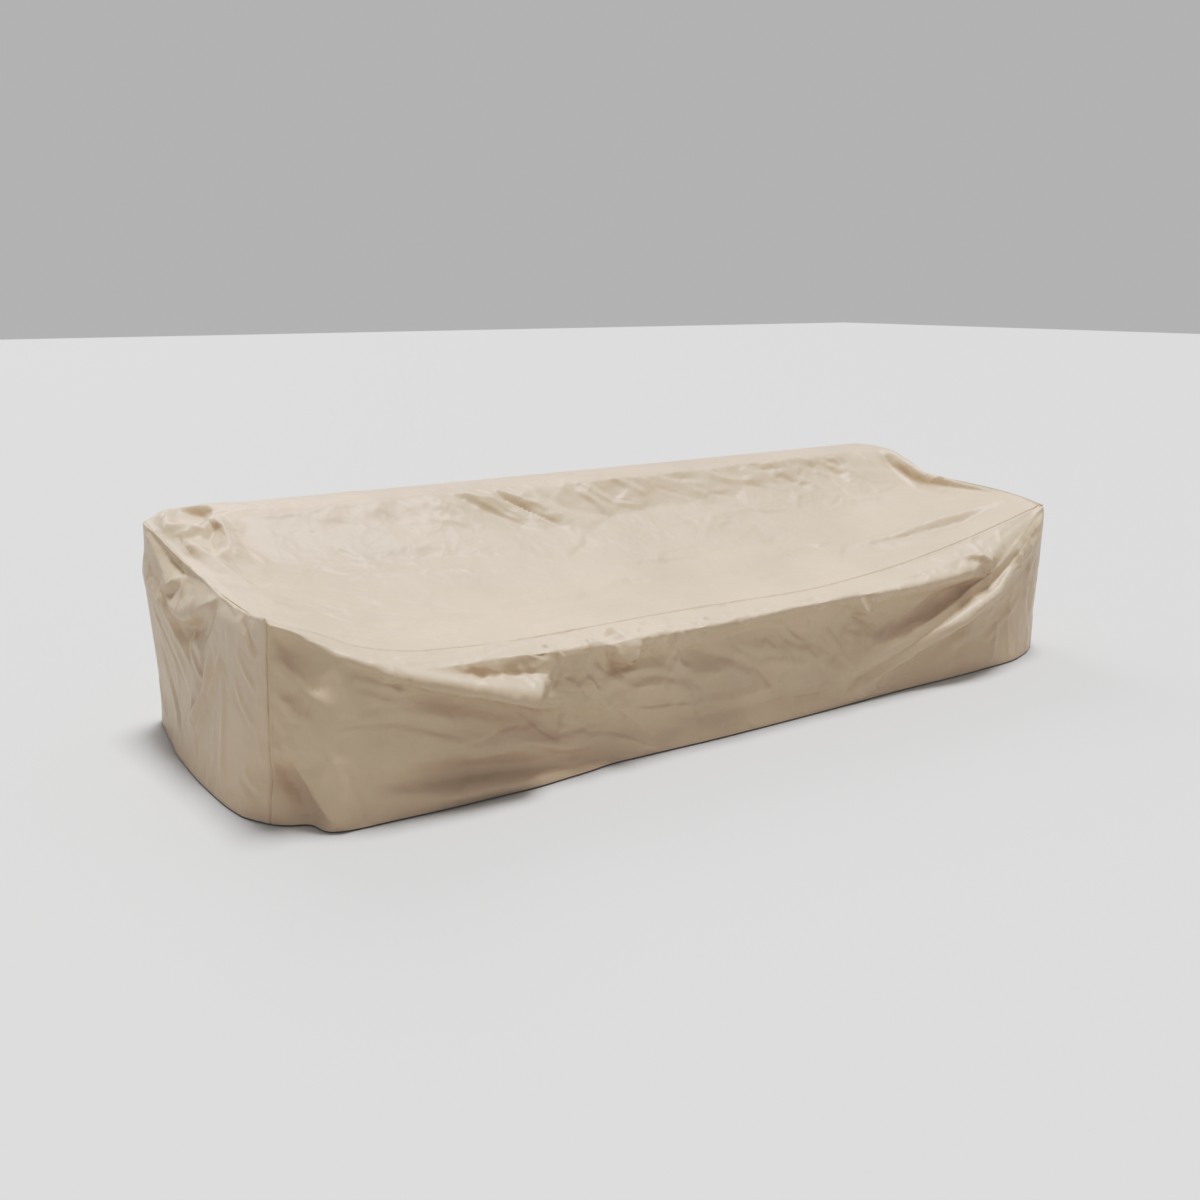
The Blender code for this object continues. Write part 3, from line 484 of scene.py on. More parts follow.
# Small wrinkles that are too many to place by hand. Each row is one place, and its wrinkles are drawn
# by seeded chance within these ranges, in the panel's own two directions.
WRINKLES = {
    # (how many, angle, spread, (shortest, longest), (lowest, highest), (x0, x1), (y0, y1))
    "top_panel": (
        (16, -30, 14, (60, 200), (1.2, 3), (-750, -200), (200, 330)),
        (34, 0, 45, (50, 180), (1, 2.8), (-300, 850), (200, 330)),
        (16, -60, 30, (50, 140), (1, 2.6), (800, 1220), (180, 330)),
        (16, -80, 30, (40, 120), (0.6, 1.4), (-1150, -600), (260, 340)),
        (48, 0, 50, (80, 300), (0.9, 2.4), (-1000, 1200), (-350, 200)),
        (20, 0, 60, (60, 200), (0.8, 2), (-1200, 1300), (340, 480)),
        (14, -60, 60, (40, 130), (1, 2.4), (-1370, -1170), (120, 460)),
        (18, -30, 18, (80, 300), (1, 2.4), (-1320, -900), (-320, 120)),
        (16, -16, 10, (120, 400), (0.4, 1), (750, 1340), (-330, -50)),
        (12, -65, 20, (60, 200), (0.5, 1.2), (1200, 1360), (-100, 380)),
    ),
    "front_panel": (
        (34, 15, 40, (40, 150), (1.4, 3.2), (-1150, -580), (20, 200)),
        (34, 70, 70, (40, 140), (2, 4.2), (-660, -220), (50, 330)),
        (40, 45, 45, (50, 220), (1, 2.8), (-250, 500), (120, 420)),
        (50, 70, 40, (30, 100), (1.2, 3.2), (-600, 1050), (15, 130)),
        (28, 115, 25, (80, 300), (1.4, 3), (900, 1340), (80, 480)),
        (18, -18, 10, (120, 400), (1.4, 2.6), (350, 1050), (180, 420)),
        (30, 15, 15, (100, 400), (1.2, 3), (-1200, -300), (200, 450)),
        (16, 75, 25, (60, 220), (1.2, 3), (-1340, -1160), (50, 480)),
    ),
    "left_panel": (
        (18, 40, 60, (40, 130), (0.8, 2), (0, 400), (360, 550)),
        (14, 45, 40, (60, 180), (0.5, 1.3), (-200, 420), (60, 400)),
        (10, 60, 50, (60, 200), (0.5, 1.3), (-400, -130), (20, 480)),
        (6, 60, 45, (40, 100), (0.8, 1.6), (-300, 450), (20, 120)),
    ),
    "right_panel": (
        (30, 45, 40, (50, 200), (1.4, 3.4), (-200, 440), (100, 540)),
        (16, 95, 25, (60, 220), (1, 2.4), (-380, -100), (20, 480)),
    ),
    "back_panel": (
        (50, 80, 40, (80, 300), (1, 2.6), (-1350, 1350), (50, 560)),
        (20, 10, 30, (80, 300), (1, 2), (-1200, 1200), (200, 500)),
    ),
}
WRINKLE_GAIN = 1.5  # what those heights are multiplied by
WRINKLE_STRAY = 0.11  # how far a wrinkle's points stray to its sides, as a share of its length
SHARP_SIDE = (4, 9)  # the least and greatest width of a wrinkle's sharp side, in mm
SOFT_SIDE = (10, 34)  # the same of its other side
SEED = 11

GRADES = {
    # panel: (share of its length, the mesh's cell there), ... along it, and the same across it
    "top_panel": (
        ((0.0, 0.0036), (0.09, 0.0038), (0.14, 0.0082), (0.26, 0.0082), (0.29, 0.0052), (0.45, 0.0052),
         (0.49, 0.0074), (1.0, 0.0074)),
        ((0.0, 0.0050), (0.38, 0.0046), (0.50, 0.0080), (1.0, 0.0082)),
    ),
    "front_panel": (((0.0, 0.0056), (0.16, 0.0056), (0.20, 0.0034), (0.37, 0.0034), (0.41, 0.0058),
                     (0.61, 0.0058), (0.635, 0.0040), (0.665, 0.0040), (0.70, 0.0056), (1.0, 0.0056)),
                    ((0.0, 0.0042), (1.0, 0.0042))),
    "right_panel": (((0.0, 0.0048), (1.0, 0.0048)), ((0.0, 0.0050), (1.0, 0.0050))),
    "back_panel": (((0.0, 0.0070), (1.0, 0.0070)), ((0.0, 0.0058), (1.0, 0.0058))),
    "left_panel": (((0.0, 0.0030), (1.0, 0.0034)), ((0.0, 0.0030), (1.0, 0.0040))),
}
# Where the mesh's first rows lie beside a seam and above the hem.
SEAM_RIM = (0.0, 0.0016, 0.0034, 0.0052, 0.0070, 0.0088, 0.0106, 0.0140)
HEM_RIM = (0.0, 0.0025, 0.0090, 0.0160, 0.0178, 0.0196, 0.0214, 0.0240, 0.0290)
GROOVE_DEPTH = 4.4 * MM  # the groove of a seam
GROOVE_WIDTH = 0.0034
ALLOWANCE_HEIGHT = 0.7 * MM  # the low ridge of turned cloth beside a seam
ALLOWANCE_WIDTH = 0.0112
ALLOWANCE_EDGE = 0.003  # over how far it rises and falls
SEAM_STITCH = (0.35 * MM, 0.0070, 0.0016)  # a row of stitches: its depth, its place and its half width
HEM_STITCH = (0.5 * MM, 0.0178, 0.0018)
HEM_HEIGHT = 0.9 * MM  # how far the turned hem stands out
HEM_TURN = 0.0225  # how far up the hem is turned
HEM_EDGE = 0.0022  # over how far its height falls away
PUCKER_HEIGHT = 0.9 * MM
PUCKER_REACH = 0.014  # how far from a sewn edge the puckers run
PUCKER_START = 0.004  # how far from the edge they reach their full height
PUCKER_WAVES = ((1, 0.016), (0.7, 0.034))  # the share and the size of each of their two waves
PUCKER_SEED = 31  # what a panel's seed is raised by for the puckers of its first edge
WAVES = 64  # the random field behind the puckers repeats after so many waves
WAVES_START = 31.7  # where in the field, in waves, the cloth's own zero lies
FINE_STEPS = 1999  # the steps in which the rows of a mesh are measured out
SHARP_ANGLE = 70  # degrees; a sharper turn between two faces isn't shaded smooth
QUIET_EDGE = 0.010  # within this of a seam or the hem the creases die away
SHARED_EDGE = 0.03  # within this of an edge the outward direction turns to the one shared at the seam


def smooth(knots, values, at):
    """Values at any places between the knots, on a smooth curve that never overshoots them."""
    knots = np.asarray(knots, float)
    values = np.asarray(values, float)
    at = np.asarray(at, float)
    shape = (-1,) + (1,) * (values.ndim - 1)
    gap = np.diff(knots).reshape(shape)
    rise = np.diff(values, axis=0) / gap
    slope = np.zeros_like(values)
    slope[0] = rise[0]
    slope[-1] = rise[-1]
    before, after = rise[:-1], rise[1:]
    same_way = before * after > 0
    total = np.where(same_way, before + after, 1.0)
    slope[1:-1] = np.where(same_way, 2 * before * after / total, 0.0)
    cell = np.clip(np.searchsorted(knots, at, side="right") - 1, 0, len(knots) - 2)
    width = gap[cell]
    t = (at.reshape(shape) - knots[cell].reshape(shape)) / width
    start, end = values[cell], values[cell + 1]
    return (
        start * (1 + 2 * t) * (1 - t) ** 2
        + end * t * t * (3 - 2 * t)
        + slope[cell] * width * t * (1 - t) ** 2
        + slope[cell + 1] * width * t * t * (t - 1)
    )


def unit(vectors):
    return vectors / np.maximum(np.linalg.norm(vectors, axis=-1, keepdims=True), 1e-12)


def ease(share):
    share = np.clip(share, 0, 1)
    return share * share * (3 - 2 * share)


def turned(grid):
    """A grid of lines with its two directions changed over."""
    return np.swapaxes(grid, 0, 1)


# Where the top's named lines lie across it, from 0 at its rear edge to 1 at its front seam.
TOP_ACROSS = (TOP_LINES[0] - TOP_LINES) / (TOP_LINES[0] - TOP_LINES[-1])

# The sections of each panel at any places along it: a grid of points, along it by its named lines.


def top_sections(at):
    """at is from 0 at the left seam to 1 at the right seam."""
    sections = [LEFT_SEAM]
    for x, *heights in TOP_SECTIONS:
        sections.append(np.column_stack([np.full(len(heights), x), TOP_LINES, heights]))
    sections.append(RIGHT_SEAM)
    stations = [row[-1, 0] for row in sections]
    return smooth(stations, sections, stations[0] + (stations[-1] - stations[0]) * np.asarray(at))


def top_surface(at, across):
    """The top's smooth surface at places along it, and across it from the rear edge to the front seam."""
    return turned(smooth(TOP_ACROSS, turned(top_sections(at)), across))


def front_sections(at):
    upper = top_surface(at, [0.0, 1.0])[:, -1]
    sections = []
    for x, x_hem, *line_values in FRONT_SECTIONS:
        ys = line_values[0::2]
        zs = np.array(line_values[1::2] + [0.0])
        lean = 1 - zs / zs[0]
        sections.append(np.column_stack([x + (x_hem - x) * lean, ys, zs]))
    lower = smooth(FRONT_SECTIONS[:, 0], sections, upper[:, 0])
    return np.concatenate([upper[:, None], lower], axis=1)


def end_sections(at, seam, table, side, corner):
    """at is from 0 at the front corner to 1 at the back corner."""
    upper = smooth(TOP_ACROSS, seam, 1 - np.asarray(at))
    sections = [corner]
    for seam_y, *outs, hem_y in table:
        ys = hem_y + (seam_y - hem_y) * END_HEIGHTS / END_HEIGHTS[0]
        sections.append(np.column_stack([side * np.array(outs), ys, END_HEIGHTS]))
    lower = smooth([seam[-1, 1], *table[:, 0]], sections, upper[:, 1])
    return np.concatenate([upper[:, None], lower], axis=1)


def left_sections(at):
    return end_sections(at, LEFT_SEAM, LEFT_SECTIONS, -1, front_sections([0.0])[0, 1:])


def right_sections(at):
    return end_sections(at, RIGHT_SEAM, RIGHT_SECTIONS, 1, front_sections([1.0])[0, 1:])


def back_sections(at):
    """at is from 0 at the right corner to 1 at the left corner."""
    upper = top_surface(1 - np.asarray(at), [0.0, 1.0])[:, 0]
    sections = [right_sections([1.0])[0, 1:]]
    for x, *ys in BACK_SECTIONS:
        sections.append(np.column_stack([np.full(len(ys), x), ys, BACK_HEIGHTS]))
    sections.append(left_sections([1.0])[0, 1:])
    stations = [-RIGHT_SEAM[0, 0], *-BACK_SECTIONS[:, 0], -LEFT_SEAM[0, 0]]
    lower = smooth(stations, sections, -upper[:, 0])
    return np.concatenate([upper[:, None], lower], axis=1)


def left_back_to_front(at):
    return left_sections(1 - np.asarray(at))


HANGING = {
    "front_panel": front_sections,
    "right_panel": right_sections,
    "back_panel": back_sections,
    "left_panel": left_back_to_front,
}


def surface(name, at, down):
    """The smooth surface of a panel at places along it and down it, both from 0 to 1."""
    if name == "top_panel":
        return top_surface(at, down)
    return turned(smooth(HANG_SPREAD, turned(HANGING[name](at)), down))


# The outward directions, shared by the panels at their seams, are worked out on a coarse grid.
COARSE_ALONG = np.linspace(0, 1, 59)
COARSE_TOP = np.linspace(0, 1, 25)
COARSE_DOWN = np.linspace(0, 1, 16)
GRID_PLACES = {
    # panel: (places along it, places down it)
    "top_panel": (COARSE_ALONG, COARSE_TOP),
    "front_panel": (COARSE_ALONG, COARSE_DOWN),
    "right_panel": (1 - COARSE_TOP[::-1], COARSE_DOWN),
    "back_panel": (1 - COARSE_ALONG[::-1], COARSE_DOWN),
    "left_panel": (COARSE_TOP, COARSE_DOWN),
}


def facing(grid):
    """The outward direction at each point of a grid of one panel."""
    return unit(np.cross(np.gradient(grid, axis=1), np.gradient(grid, axis=0)))


def shared_directions():
    """The outward direction of every panel on the coarse grid, halved at the seams between two panels."""
    out = {name: facing(surface(name, *places)) for name, places in GRID_PLACES.items()}
    top, front, right = out["top_panel"], out["front_panel"], out["right_panel"]
    back, left = out["back_panel"], out["left_panel"]
    seams = (
        (top[:, -1], front[:, 0]),
        (top[:, 0], back[::-1, 0]),
        (top[-1], right[::-1, 0]),
        (top[0], left[:, 0]),
        (front[0], left[-1]),
        (front[-1], right[0]),
        (right[-1], back[0]),
        (back[-1], left[0]),
    )
    for one, other in seams:
        middle = unit(one + other)
        one[:] = middle
        other[:] = middle
    return out


def directions_at(coarse, name, at, down):
    """The shared outward directions of a panel at any places along it and down it."""
    along, lines = GRID_PLACES[name]
    return unit(turned(smooth(lines, turned(smooth(along, coarse[name], at)), down)))


def nearest_on_path(points, path):
    """Each point's distance to a path, how far along it that is, its side of it, and the path's length."""
    nearest = np.full(points.shape[:-1], np.inf)
    along, beside = np.zeros(nearest.shape), np.zeros(nearest.shape)
    passed = 0.0
    for start, end in zip(path, path[1:]):
        leg = np.linalg.norm(end - start)
        step = (end - start) / leg
        offset = points - start
        share = np.clip(offset @ step, 0, leg)
        distance = np.linalg.norm(offset - share[..., None] * step, axis=-1)
        closer = distance < nearest
        nearest = np.where(closer, distance, nearest)
        along = np.where(closer, passed + share, along)
        beside = np.where(closer, step[0] * offset[..., 1] - step[1] * offset[..., 0], beside)
        passed += leg
    return nearest, along, beside, passed


def fold_profile(points, height, half_width, path):
    """How far a main fold lifts each point: most along its path, and fading out at both ends."""
    nearest, along, _, length = nearest_on_path(points, path)
    fade = ease(np.minimum(along, length - along) / (FADE * length))
    return height * np.exp(-((nearest / half_width) ** 2)) * fade


def crease_profile(places, height, left, right, path):
    """How far a crease lifts each place: a narrow ridge or trough with its own width on each side."""
    knots = np.concatenate([[0], np.cumsum(np.linalg.norm(np.diff(path, axis=0), axis=1))])
    path = smooth(knots, path, np.linspace(0, knots[-1], 4 * len(path)))
    reach = 2 * max(left, right) * MM
    low, high = path.min(axis=0) - reach, path.max(axis=0) + reach
    near = np.nonzero(((places > low) & (places < high)).all(axis=-1))
    nearest, along, beside, length = nearest_on_path(places[near], path)
    width = np.where(beside > 0, left, right) * MM
    way = np.sqrt((nearest / width) ** 2 + CREASE_ROUND**2) - CREASE_ROUND
    shape = np.clip(1 - way / CREASE_REACH, 0, 1) ** CREASE_FALL
    fade = ease(np.minimum(along, length - along) / (CREASE_FADE * length))
    lift = np.zeros(places.shape[:-1])
    lift[near] = height * MM * shape * fade
    return lift


def facets_lift(places, border, lines):
    """How far one patch of flat facets lifts each place."""
    spots, edges, heights = [], [], []
    closed_border = [(*corner, 0) for corner in (*border, border[0])]
    for line in (closed_border, *lines):
        edges += [(len(spots) + n, len(spots) + n + 1) for n in range(len(line) - 1)]
        spots += [Vector(metres(point[:2])) for point in line]
        heights += [point[2] for point in line]
    corners, _, triangles, sources, _, _ = delaunay_2d_cdt(spots, edges, [], 0, 1e-6)
    lift = np.zeros(places.shape[:-1])
    for triangle in triangles:
        a, b, c = (np.array(corners[n]) for n in triangle)
        at_a, at_b, at_c = (heights[sources[n][0]] for n in triangle)
        low, high = np.minimum(a, np.minimum(b, c)), np.maximum(a, np.maximum(b, c))
        near = np.nonzero(((places >= low) & (places <= high)).all(axis=-1))
        spot = places[near] - a
        first, second = b - a, c - a
        area = first[0] * second[1] - first[1] * second[0]
        to_b = (spot[:, 0] * second[1] - spot[:, 1] * second[0]) / area
        to_c = (first[0] * spot[:, 1] - first[1] * spot[:, 0]) / area
        inside = (to_b >= -1e-9) & (to_c >= -1e-9) & (to_b + to_c <= 1 + 1e-9)
        within = tuple(axis[inside] for axis in near)
        to_b, to_c = to_b[inside], to_c[inside]
        lift[within] = MM * (at_a * (1 - to_b - to_c) + at_b * to_b + at_c * to_c)
    return lift


def rounded_facets(places, border, *lines):
    """The same with soft edges: the mean of five places close together."""
    nudges = FACET_ROUND * np.array([(0, 0), (1, 0), (-1, 0), (0, 1), (0, -1)])
    return sum(facets_lift(places + nudge, border, lines) for nudge in nudges) / len(nudges)


def wavy(places, size, seed):
    """A soft random field over places, with waves of about this size."""
    values = np.random.default_rng(seed).uniform(-1, 1, (WAVES, WAVES))
    spot = places / size + WAVES_START
    cell = np.floor(spot).astype(int)
    t = ease(spot - cell)
    a, b = cell[..., 0] % WAVES, cell[..., 1] % WAVES
    c, d = (a + 1) % WAVES, (b + 1) % WAVES
    low = values[a, b] * (1 - t[..., 0]) + values[c, b] * t[..., 0]
    high = values[a, d] * (1 - t[..., 0]) + values[c, d] * t[..., 0]
    return low * (1 - t[..., 1]) + high * t[..., 1]


def small_wrinkles(name, seed):
    """Creases drawn by chance within the ranges of a panel's WRINKLES: height, two widths and path."""
    chance = np.random.default_rng(seed)
    for count, angle, spread, lengths, heights, *across in WRINKLES[name]:
        shortest, longest = metres(lengths)
        across_x, across_y = metres(across)
        for _ in range(count):
            turn = math.radians(angle + chance.uniform(-spread, spread))
            ahead = np.array([math.cos(turn), math.sin(turn)])
            aside = np.array([-ahead[1], ahead[0]])
            middle = np.array([chance.uniform(*across_x), chance.uniform(*across_y)])
            length = shortest * (longest / shortest) ** chance.uniform()
            strays = np.cumsum(chance.uniform(-WRINKLE_STRAY, WRINKLE_STRAY, 4))
            path = [middle + length * ((step / 3 - 0.5) * ahead + strays[step] * aside) for step in range(4)]
            widths = [chance.uniform(*SHARP_SIDE), chance.uniform(*SOFT_SIDE)]
            chance.shuffle(widths)
            height = WRINKLE_GAIN * chance.uniform(*heights) * chance.choice([1, 1, -1])
            yield height, *widths, np.array(path)


def creases(name, seed):
    """All creases of a panel: those listed in its table, and then the small wrinkles."""
    for height, left, right, *path in CREASES[name]:
        yield height, left, right, metres(path)
    yield from small_wrinkles(name, seed)


def rows(length, grade, start_rim, end_rim):
    """Shares of a length at cells of the grade's sizes, with finer rows along its two edges.

    The rows are odd in number, so that the inner face can take every second one.
    """
    places, cells = np.array(grade).T
    first, last = start_rim[-1], length - end_rim[-1]
    fine = np.linspace(first, last, FINE_STEPS + 1)
    steps = (last - first) / FINE_STEPS / np.interp(fine[1:] / length, places, cells)
    passed = np.concatenate([[0], np.cumsum(steps)])
    count = round(passed[-1])
    count += (len(start_rim) + len(end_rim) + count) % 2
    inner = np.interp(np.arange(1, count) * passed[-1] / count, passed, fine)
    return np.concatenate([start_rim, inner, length - np.array(end_rim)[::-1]]) / length


LENGTHS = {
    # panel: (its length, its width), for spacing the rows of its grid
    "top_panel": (2.72, 0.96),
    "front_panel": (2.72, 0.50),
    "right_panel": (0.90, 0.54),
    "back_panel": (2.77, 0.60),
    "left_panel": (0.90, 0.52),
}


def grid_rows(name):
    """The places along a panel and down it at which its fine mesh has points."""
    length, width = LENGTHS[name]
    along, across = GRADES[name]
    lower_rim = SEAM_RIM if name == "top_panel" else HEM_RIM
    return rows(length, along, SEAM_RIM, SEAM_RIM), rows(width, across, SEAM_RIM, lower_rim)


def walked(grid, axis):
    """How far each point of a grid lies along the cloth (axis 0) or down it (axis 1)."""
    steps = np.linalg.norm(np.diff(grid, axis=axis, prepend=np.take(grid, [0], axis=axis)), axis=2)
    return np.cumsum(steps, axis=axis)


def panel_places(name, base):
    """Each point's place in its panel's own two directions."""
    if name == "front_panel":
        return np.stack([base[..., 0], walked(base, 1)], axis=-1)
    first, second = {"top_panel": (0, 1), "back_panel": (0, 2)}.get(name, (1, 2))
    return base[..., [first, second]]


def trough(distance, depth, place, half_width):
    """A soft trough beside a sewn edge, at its place and with its depth and half width."""
    return -depth * np.exp(-(((distance - place) / half_width) ** 2))


def seam_lift(distance):
    """The groove of a seam, and the low ridge of the turned cloth beside it with its stitching."""
    groove = trough(distance, GROOVE_DEPTH, 0, GROOVE_WIDTH)
    rise, fall = ease(distance / ALLOWANCE_EDGE), ease((ALLOWANCE_WIDTH - distance) / ALLOWANCE_EDGE)
    return groove + ALLOWANCE_HEIGHT * rise * fall + trough(distance, *SEAM_STITCH)


def hem_lift(distance):
    """The turned hem: a double thickness with its row of stitches."""
    return HEM_HEIGHT * ease((HEM_TURN - distance) / HEM_EDGE) + trough(distance, *HEM_STITCH)


def pucker(along, distance, seed):
    """Small puckers that run away from a sewn edge."""
    line = np.stack([along, np.zeros_like(along)], axis=-1)
    wave = sum(share * wavy(line, size, seed + n) for n, (share, size) in enumerate(PUCKER_WAVES))
    return PUCKER_HEIGHT * wave * np.exp(-distance / PUCKER_REACH) * ease(distance / PUCKER_START)


def crumpled_lift(name, places, seed):
    """How far a panel's creases, small wrinkles and facets lift each of its places."""
    lift = np.zeros(places.shape[:-1])
    for crease in creases(name, seed):
        lift += crease_profile(places, *crease)
    for patch in FACETS.get(name, ()):
        lift += rounded_facets(places, *patch)
    return lift


def build_panel(name, coarse, seed):
    """The points of a panel's fine mesh, their outward directions and their places on the cloth."""
    at, down = grid_rows(name)
    base = surface(name, at, down)
    shared = directions_at(coarse, name, at, down)
    points = base
    # The main folds.
    for height, half_width, *path in FOLDS.values():
        fold = fold_profile(points, metres(height), metres(half_width), metres(path))
        points = points + shared * fold[..., None]

    # How far along the cloth and down it each point lies, and how far from the edges.
    run, fall = walked(base, 0), walked(base, 1)
    to_start, to_end, to_lower = run, run[-1:] - run, fall[:, -1:] - fall
    sewn = np.minimum(fall, np.minimum(to_start, to_end))
    if name == "top_panel":
        sewn = np.minimum(sewn, to_lower)
    edge = np.minimum(sewn, to_lower)
    inner = ease(edge / SHARED_EDGE)[..., None]

    def outward(points):
        return unit(shared * (1 - inner) + facing(points) * inner)

    # What lies on the folds, and then the seams and the hem.
    lift = crumpled_lift(name, panel_places(name, base), seed) * ease(edge / QUIET_EDGE)
    points = points + outward(points) * lift[..., None]
    first = seed + PUCKER_SEED
    lift = pucker(run, fall, first) + pucker(fall, to_start, first + 1) + pucker(fall, to_end, first + 2)
    lift += seam_lift(sewn)
    lift += pucker(run, to_lower, first + 3) if name == "top_panel" else hem_lift(to_lower)
    points = points + outward(points) * lift[..., None]
    if name != "top_panel":
        points[:, -1, 2] = 0.0
    return points - CENTRE, outward(points), np.stack([run, fall], axis=-1)


def border_of(corner):
    """A grid's border, once round."""
    return np.concatenate([corner[:-1, 0], corner[-1, :-1], corner[:0:-1, -1], corner[0, :0:-1]])


def quads_of(corner):
    """A grid's faces, each by its four corners."""
    quads = np.stack([corner[:-1, :-1], corner[:-1, 1:], corner[1:, 1:], corner[1:, :-1]], axis=-1)
    return quads.reshape(-1, 4)


def sheet_mesh(name, outer, outward, cloth):
    """A closed sheet: its outer face on the panel's points, and a coarser inner face CLOTH inside it."""
    inner = (outer - CLOTH * outward)[::2, ::2]
    corner = np.arange(outer.shape[0] * outer.shape[1]).reshape(outer.shape[:2])
    inner_corner = corner.size + np.arange(inner.shape[0] * inner.shape[1]).reshape(inner.shape[:2])
    border, inner_border = border_of(corner), border_of(inner_corner)
    here, halfway = border[::2], border[1::2]
    rim = np.stack([here, halfway, np.roll(here, -1), np.roll(inner_border, -1), inner_border], axis=-1)
    faces = quads_of(corner).tolist() + quads_of(inner_corner)[:, ::-1].tolist() + rim[:, ::-1].tolist()
    points = np.concatenate([outer.reshape(-1, 3), inner.reshape(-1, 3)])
    mesh = bpy.data.meshes.new(name)
    mesh.from_pydata(points.tolist(), [], faces)
    mesh.shade_smooth()
    mesh.set_sharp_from_angle(angle=math.radians(SHARP_ANGLE))
    cloth = np.concatenate([cloth.reshape(-1, 2), cloth[::2, ::2].reshape(-1, 2)])
    layer = mesh.uv_layers.new(name="cloth")
    loops = np.empty(len(mesh.loops), int)
    mesh.loops.foreach_get("vertex_index", loops)
    layer.data.foreach_set("uv", cloth[loops].ravel())
    return mesh


def add_object(name, data):
    obj = bpy.data.objects.new(name, data)
    bpy.context.scene.collection.objects.link(obj)
    return obj


# --- Materials ---

THREAD = 0.0007  # one thread of the weave to the next
LIGHT_CLOTH = (0.605, 0.489, 0.375, 1)
DARK_CLOTH = (0.55, 0.445, 0.341, 1)
WARP = 0.16  # how far the cells of the folded cloth are bent out of their places
CELLS = ((11.0, 0.0055), (27.0, 0.0022))  # the scale of each size of cells, and how deep they lie


def new_material(name):
    material = bpy.data.materials.new(name)
    material.use_nodes = True
    return material, material.node_tree


def plug(tree, node, sockets):
    """Sets each named socket of a node to a value, or links it to another node's socket."""
    for name, value in sockets.items():
        if isinstance(value, bpy.types.NodeSocket):
            tree.links.new(value, node.inputs[name])
        else:
            node.inputs[name].default_value = value


def add_node(tree, kind, output, **sockets):
    """A node of the tree with its sockets plugged, as the node's output of that name."""
    node = tree.nodes.new("ShaderNode" + kind)
    plug(tree, node, sockets)
    return node.outputs[output]


def weave(tree):
    """A plain weave: two sets of threads across each other."""
    cloth = tree.nodes.new("ShaderNodeUVMap")
    cloth.uv_map = "cloth"
    heights = tree.nodes.new("ShaderNodeMath")
    heights.operation = "MULTIPLY"
    for number, axis in enumerate("XY"):
        threads = tree.nodes.new("ShaderNodeTexWave")
        threads.wave_type = "BANDS"
        threads.bands_direction = axis
        plug(tree, threads, {"Vector": cloth.outputs["UV"], "Scale": 0.5 / THREAD, "Distortion": 0.0})
        tree.links.new(threads.outputs["Fac"], heights.inputs[number])
    return heights.outputs["Value"]


def folded_small(tree, place, normal):
    """The low facets of cloth that has been folded up small and opened again."""
    noise = add_node(tree, "TexNoise", "Color", Vector=place, Scale=6.0)
    bent = tree.nodes.new("ShaderNodeVectorMath")
    bent.operation = "MULTIPLY_ADD"
    plug(tree, bent, {0: noise, 1: (WARP, WARP, WARP), 2: place})
    for scale, depth in CELLS:
        cells = add_node(tree, "TexVoronoi", "Distance", Vector=bent.outputs["Vector"], Scale=scale)
        normal = add_node(tree, "Bump", "Normal", Strength=0.6, Distance=depth, Height=cells, Normal=normal)
    return normal


def cloth_material():
    """Coated woven polyester: a fine plain weave under a thin, satin coating."""
    material, tree = new_material("coated_polyester")
    place = tree.nodes.new("ShaderNodeTexCoord").outputs["Object"]
    mottle = add_node(tree, "TexNoise", "Fac", Vector=place, Scale=3.5, Detail=6.0)
    tones = tree.nodes.new("ShaderNodeValToRGB")
    for element, position, color in zip(tones.color_ramp.elements, (0.35, 0.65), (DARK_CLOTH, LIGHT_CLOTH)):
        element.position = position
        element.color = color
    tree.links.new(mottle, tones.inputs["Fac"])
    gloss = tree.nodes.new("ShaderNodeMapRange")
    plug(tree, gloss, {"Value": mottle, "To Min": 0.36, "To Max": 0.50})

    fine = add_node(tree, "Bump", "Normal", Strength=0.25, Distance=0.0002, Height=weave(tree))
    grain = add_node(tree, "TexNoise", "Fac", Vector=place, Scale=55.0, Detail=5.0)
    coat = add_node(tree, "Bump", "Normal", Strength=0.35, Distance=0.0012, Height=grain, Normal=fine)
    plug(tree, tree.nodes["Principled BSDF"], {
        "Base Color": tones.outputs["Color"],
        "Roughness": gloss.outputs["Result"],
        "Specular IOR Level": 0.32,
        "Sheen Weight": 0.07,
        "Sheen Roughness": 0.5,
        "Normal": folded_small(tree, place, coat),
    })
    return material


def floor_material():
    material, tree = new_material("pale_floor")
    plug(tree, tree.nodes["Principled BSDF"], {"Base Color": (0.56, 0.56, 0.56, 1), "Roughness": 0.8})
    return material


# --- Stage ---

# The view's tone curve, as (input, output), and what the lightest input comes to.
TONES = ((0.10, 0.070), (0.20, 0.168), (0.30, 0.297), (0.45, 0.465), (0.62, 0.592), (0.75, 0.672))
LIGHTEST = 0.82
SKY = 0.43  # the strength of the even white light from all sides
FLOOR_SIZE = 60
FLOOR_DROP = 0.004  # how far under the hem the floor lies
CAMERA_PLACE = (-2.067, -2.895, 1.20)
CAMERA_DOWN = 14.765  # degrees, as the next one
CAMERA_RIGHT = 32.849
LENS = 35.4  # mm, on a sensor 36 mm wide
SENSOR = 36


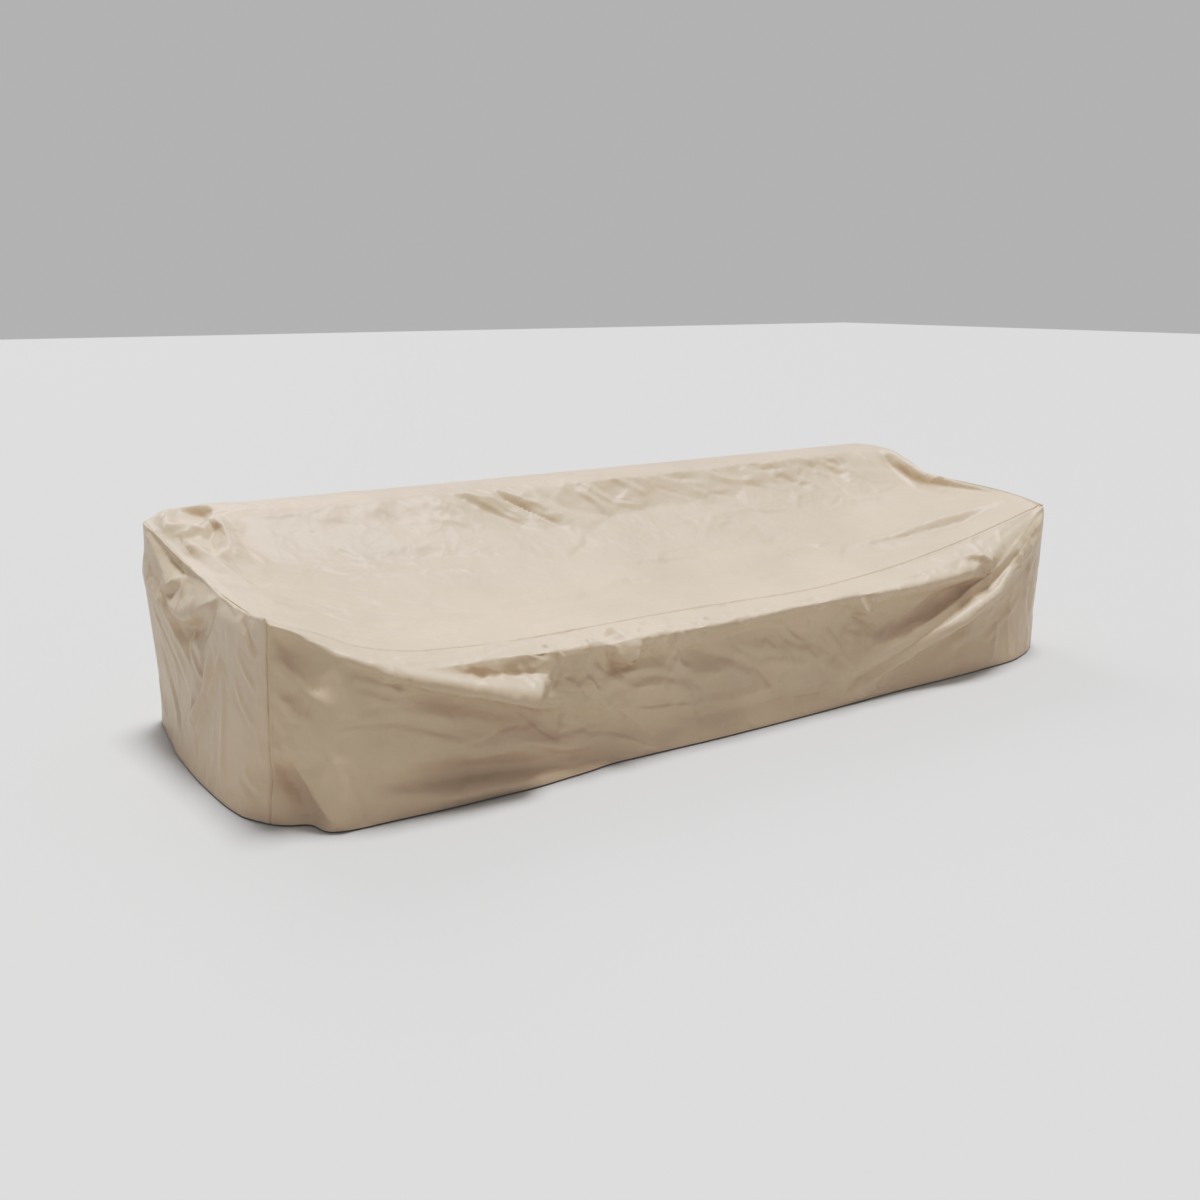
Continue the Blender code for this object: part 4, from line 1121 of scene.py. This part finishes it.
def add_floor():
    bpy.ops.mesh.primitive_plane_add(size=FLOOR_SIZE, location=(0, 0, -FLOOR_DROP))
    floor = bpy.context.object
    floor.name = "floor"
    floor.data.materials.append(floor_material())


def add_sun(name, elevation, azimuth, spread, strength):
    """A soft light from far away. Azimuth is the way that it comes from, counted from +X to +Y."""
    light = bpy.data.lights.new(name, "SUN")
    light.angle = math.radians(spread)
    light.energy = strength
    sun = add_object(name, light)
    sun.rotation_euler = (0, math.radians(90 - elevation), math.radians(azimuth))


def add_lights():
    world = bpy.data.worlds.new("studio")
    world.use_nodes = True
    plug(world.node_tree, world.node_tree.nodes["Background"], {"Color": (1, 1, 1, 1), "Strength": SKY})
    bpy.context.scene.world = world
    view = bpy.context.scene.view_settings
    view.view_transform = "Standard"
    view.use_curve_mapping = True
    curve = view.curve_mapping.curves[3]
    for place, value in TONES:
        curve.points.new(place, value)
    curve.points[-1].location = (1.0, LIGHTEST)
    view.curve_mapping.update()
    add_sun("behind", elevation=34, azimuth=85, spread=30, strength=0.5)
    add_sun("above", elevation=80, azimuth=30, spread=16, strength=3.0)


def add_camera():
    data = bpy.data.cameras.new("camera")
    data.lens = LENS
    data.sensor_width = SENSOR
    camera = add_object("camera", data)
    camera.location = CAMERA_PLACE
    camera.rotation_euler = (math.radians(90 - CAMERA_DOWN), 0, math.radians(-CAMERA_RIGHT))
    bpy.context.scene.camera = camera


PIECES = {
    # node: (piece, its cloth's flat size along and across)
    "top_panel": ("top_cloth", (2.80, 1.00)),
    "front_panel": ("front_cloth", (2.78, 0.56)),
    "right_panel": ("right_cloth", (0.93, 0.57)),
    "back_panel": ("back_cloth", (2.80, 0.63)),
    "left_panel": ("left_cloth", (0.93, 0.57)),
}


def main():
    add_camera()
    add_lights()
    add_floor()
    coarse = shared_directions()
    material = cloth_material()
    for number, (node, (name, flat)) in enumerate(PIECES.items()):
        mesh = sheet_mesh(name, *build_panel(node, coarse, SEED + 1000 * number))
        mesh.materials.append(material)
        piece = add_object(name, mesh)
        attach(piece, "root")
        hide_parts(node)


main()
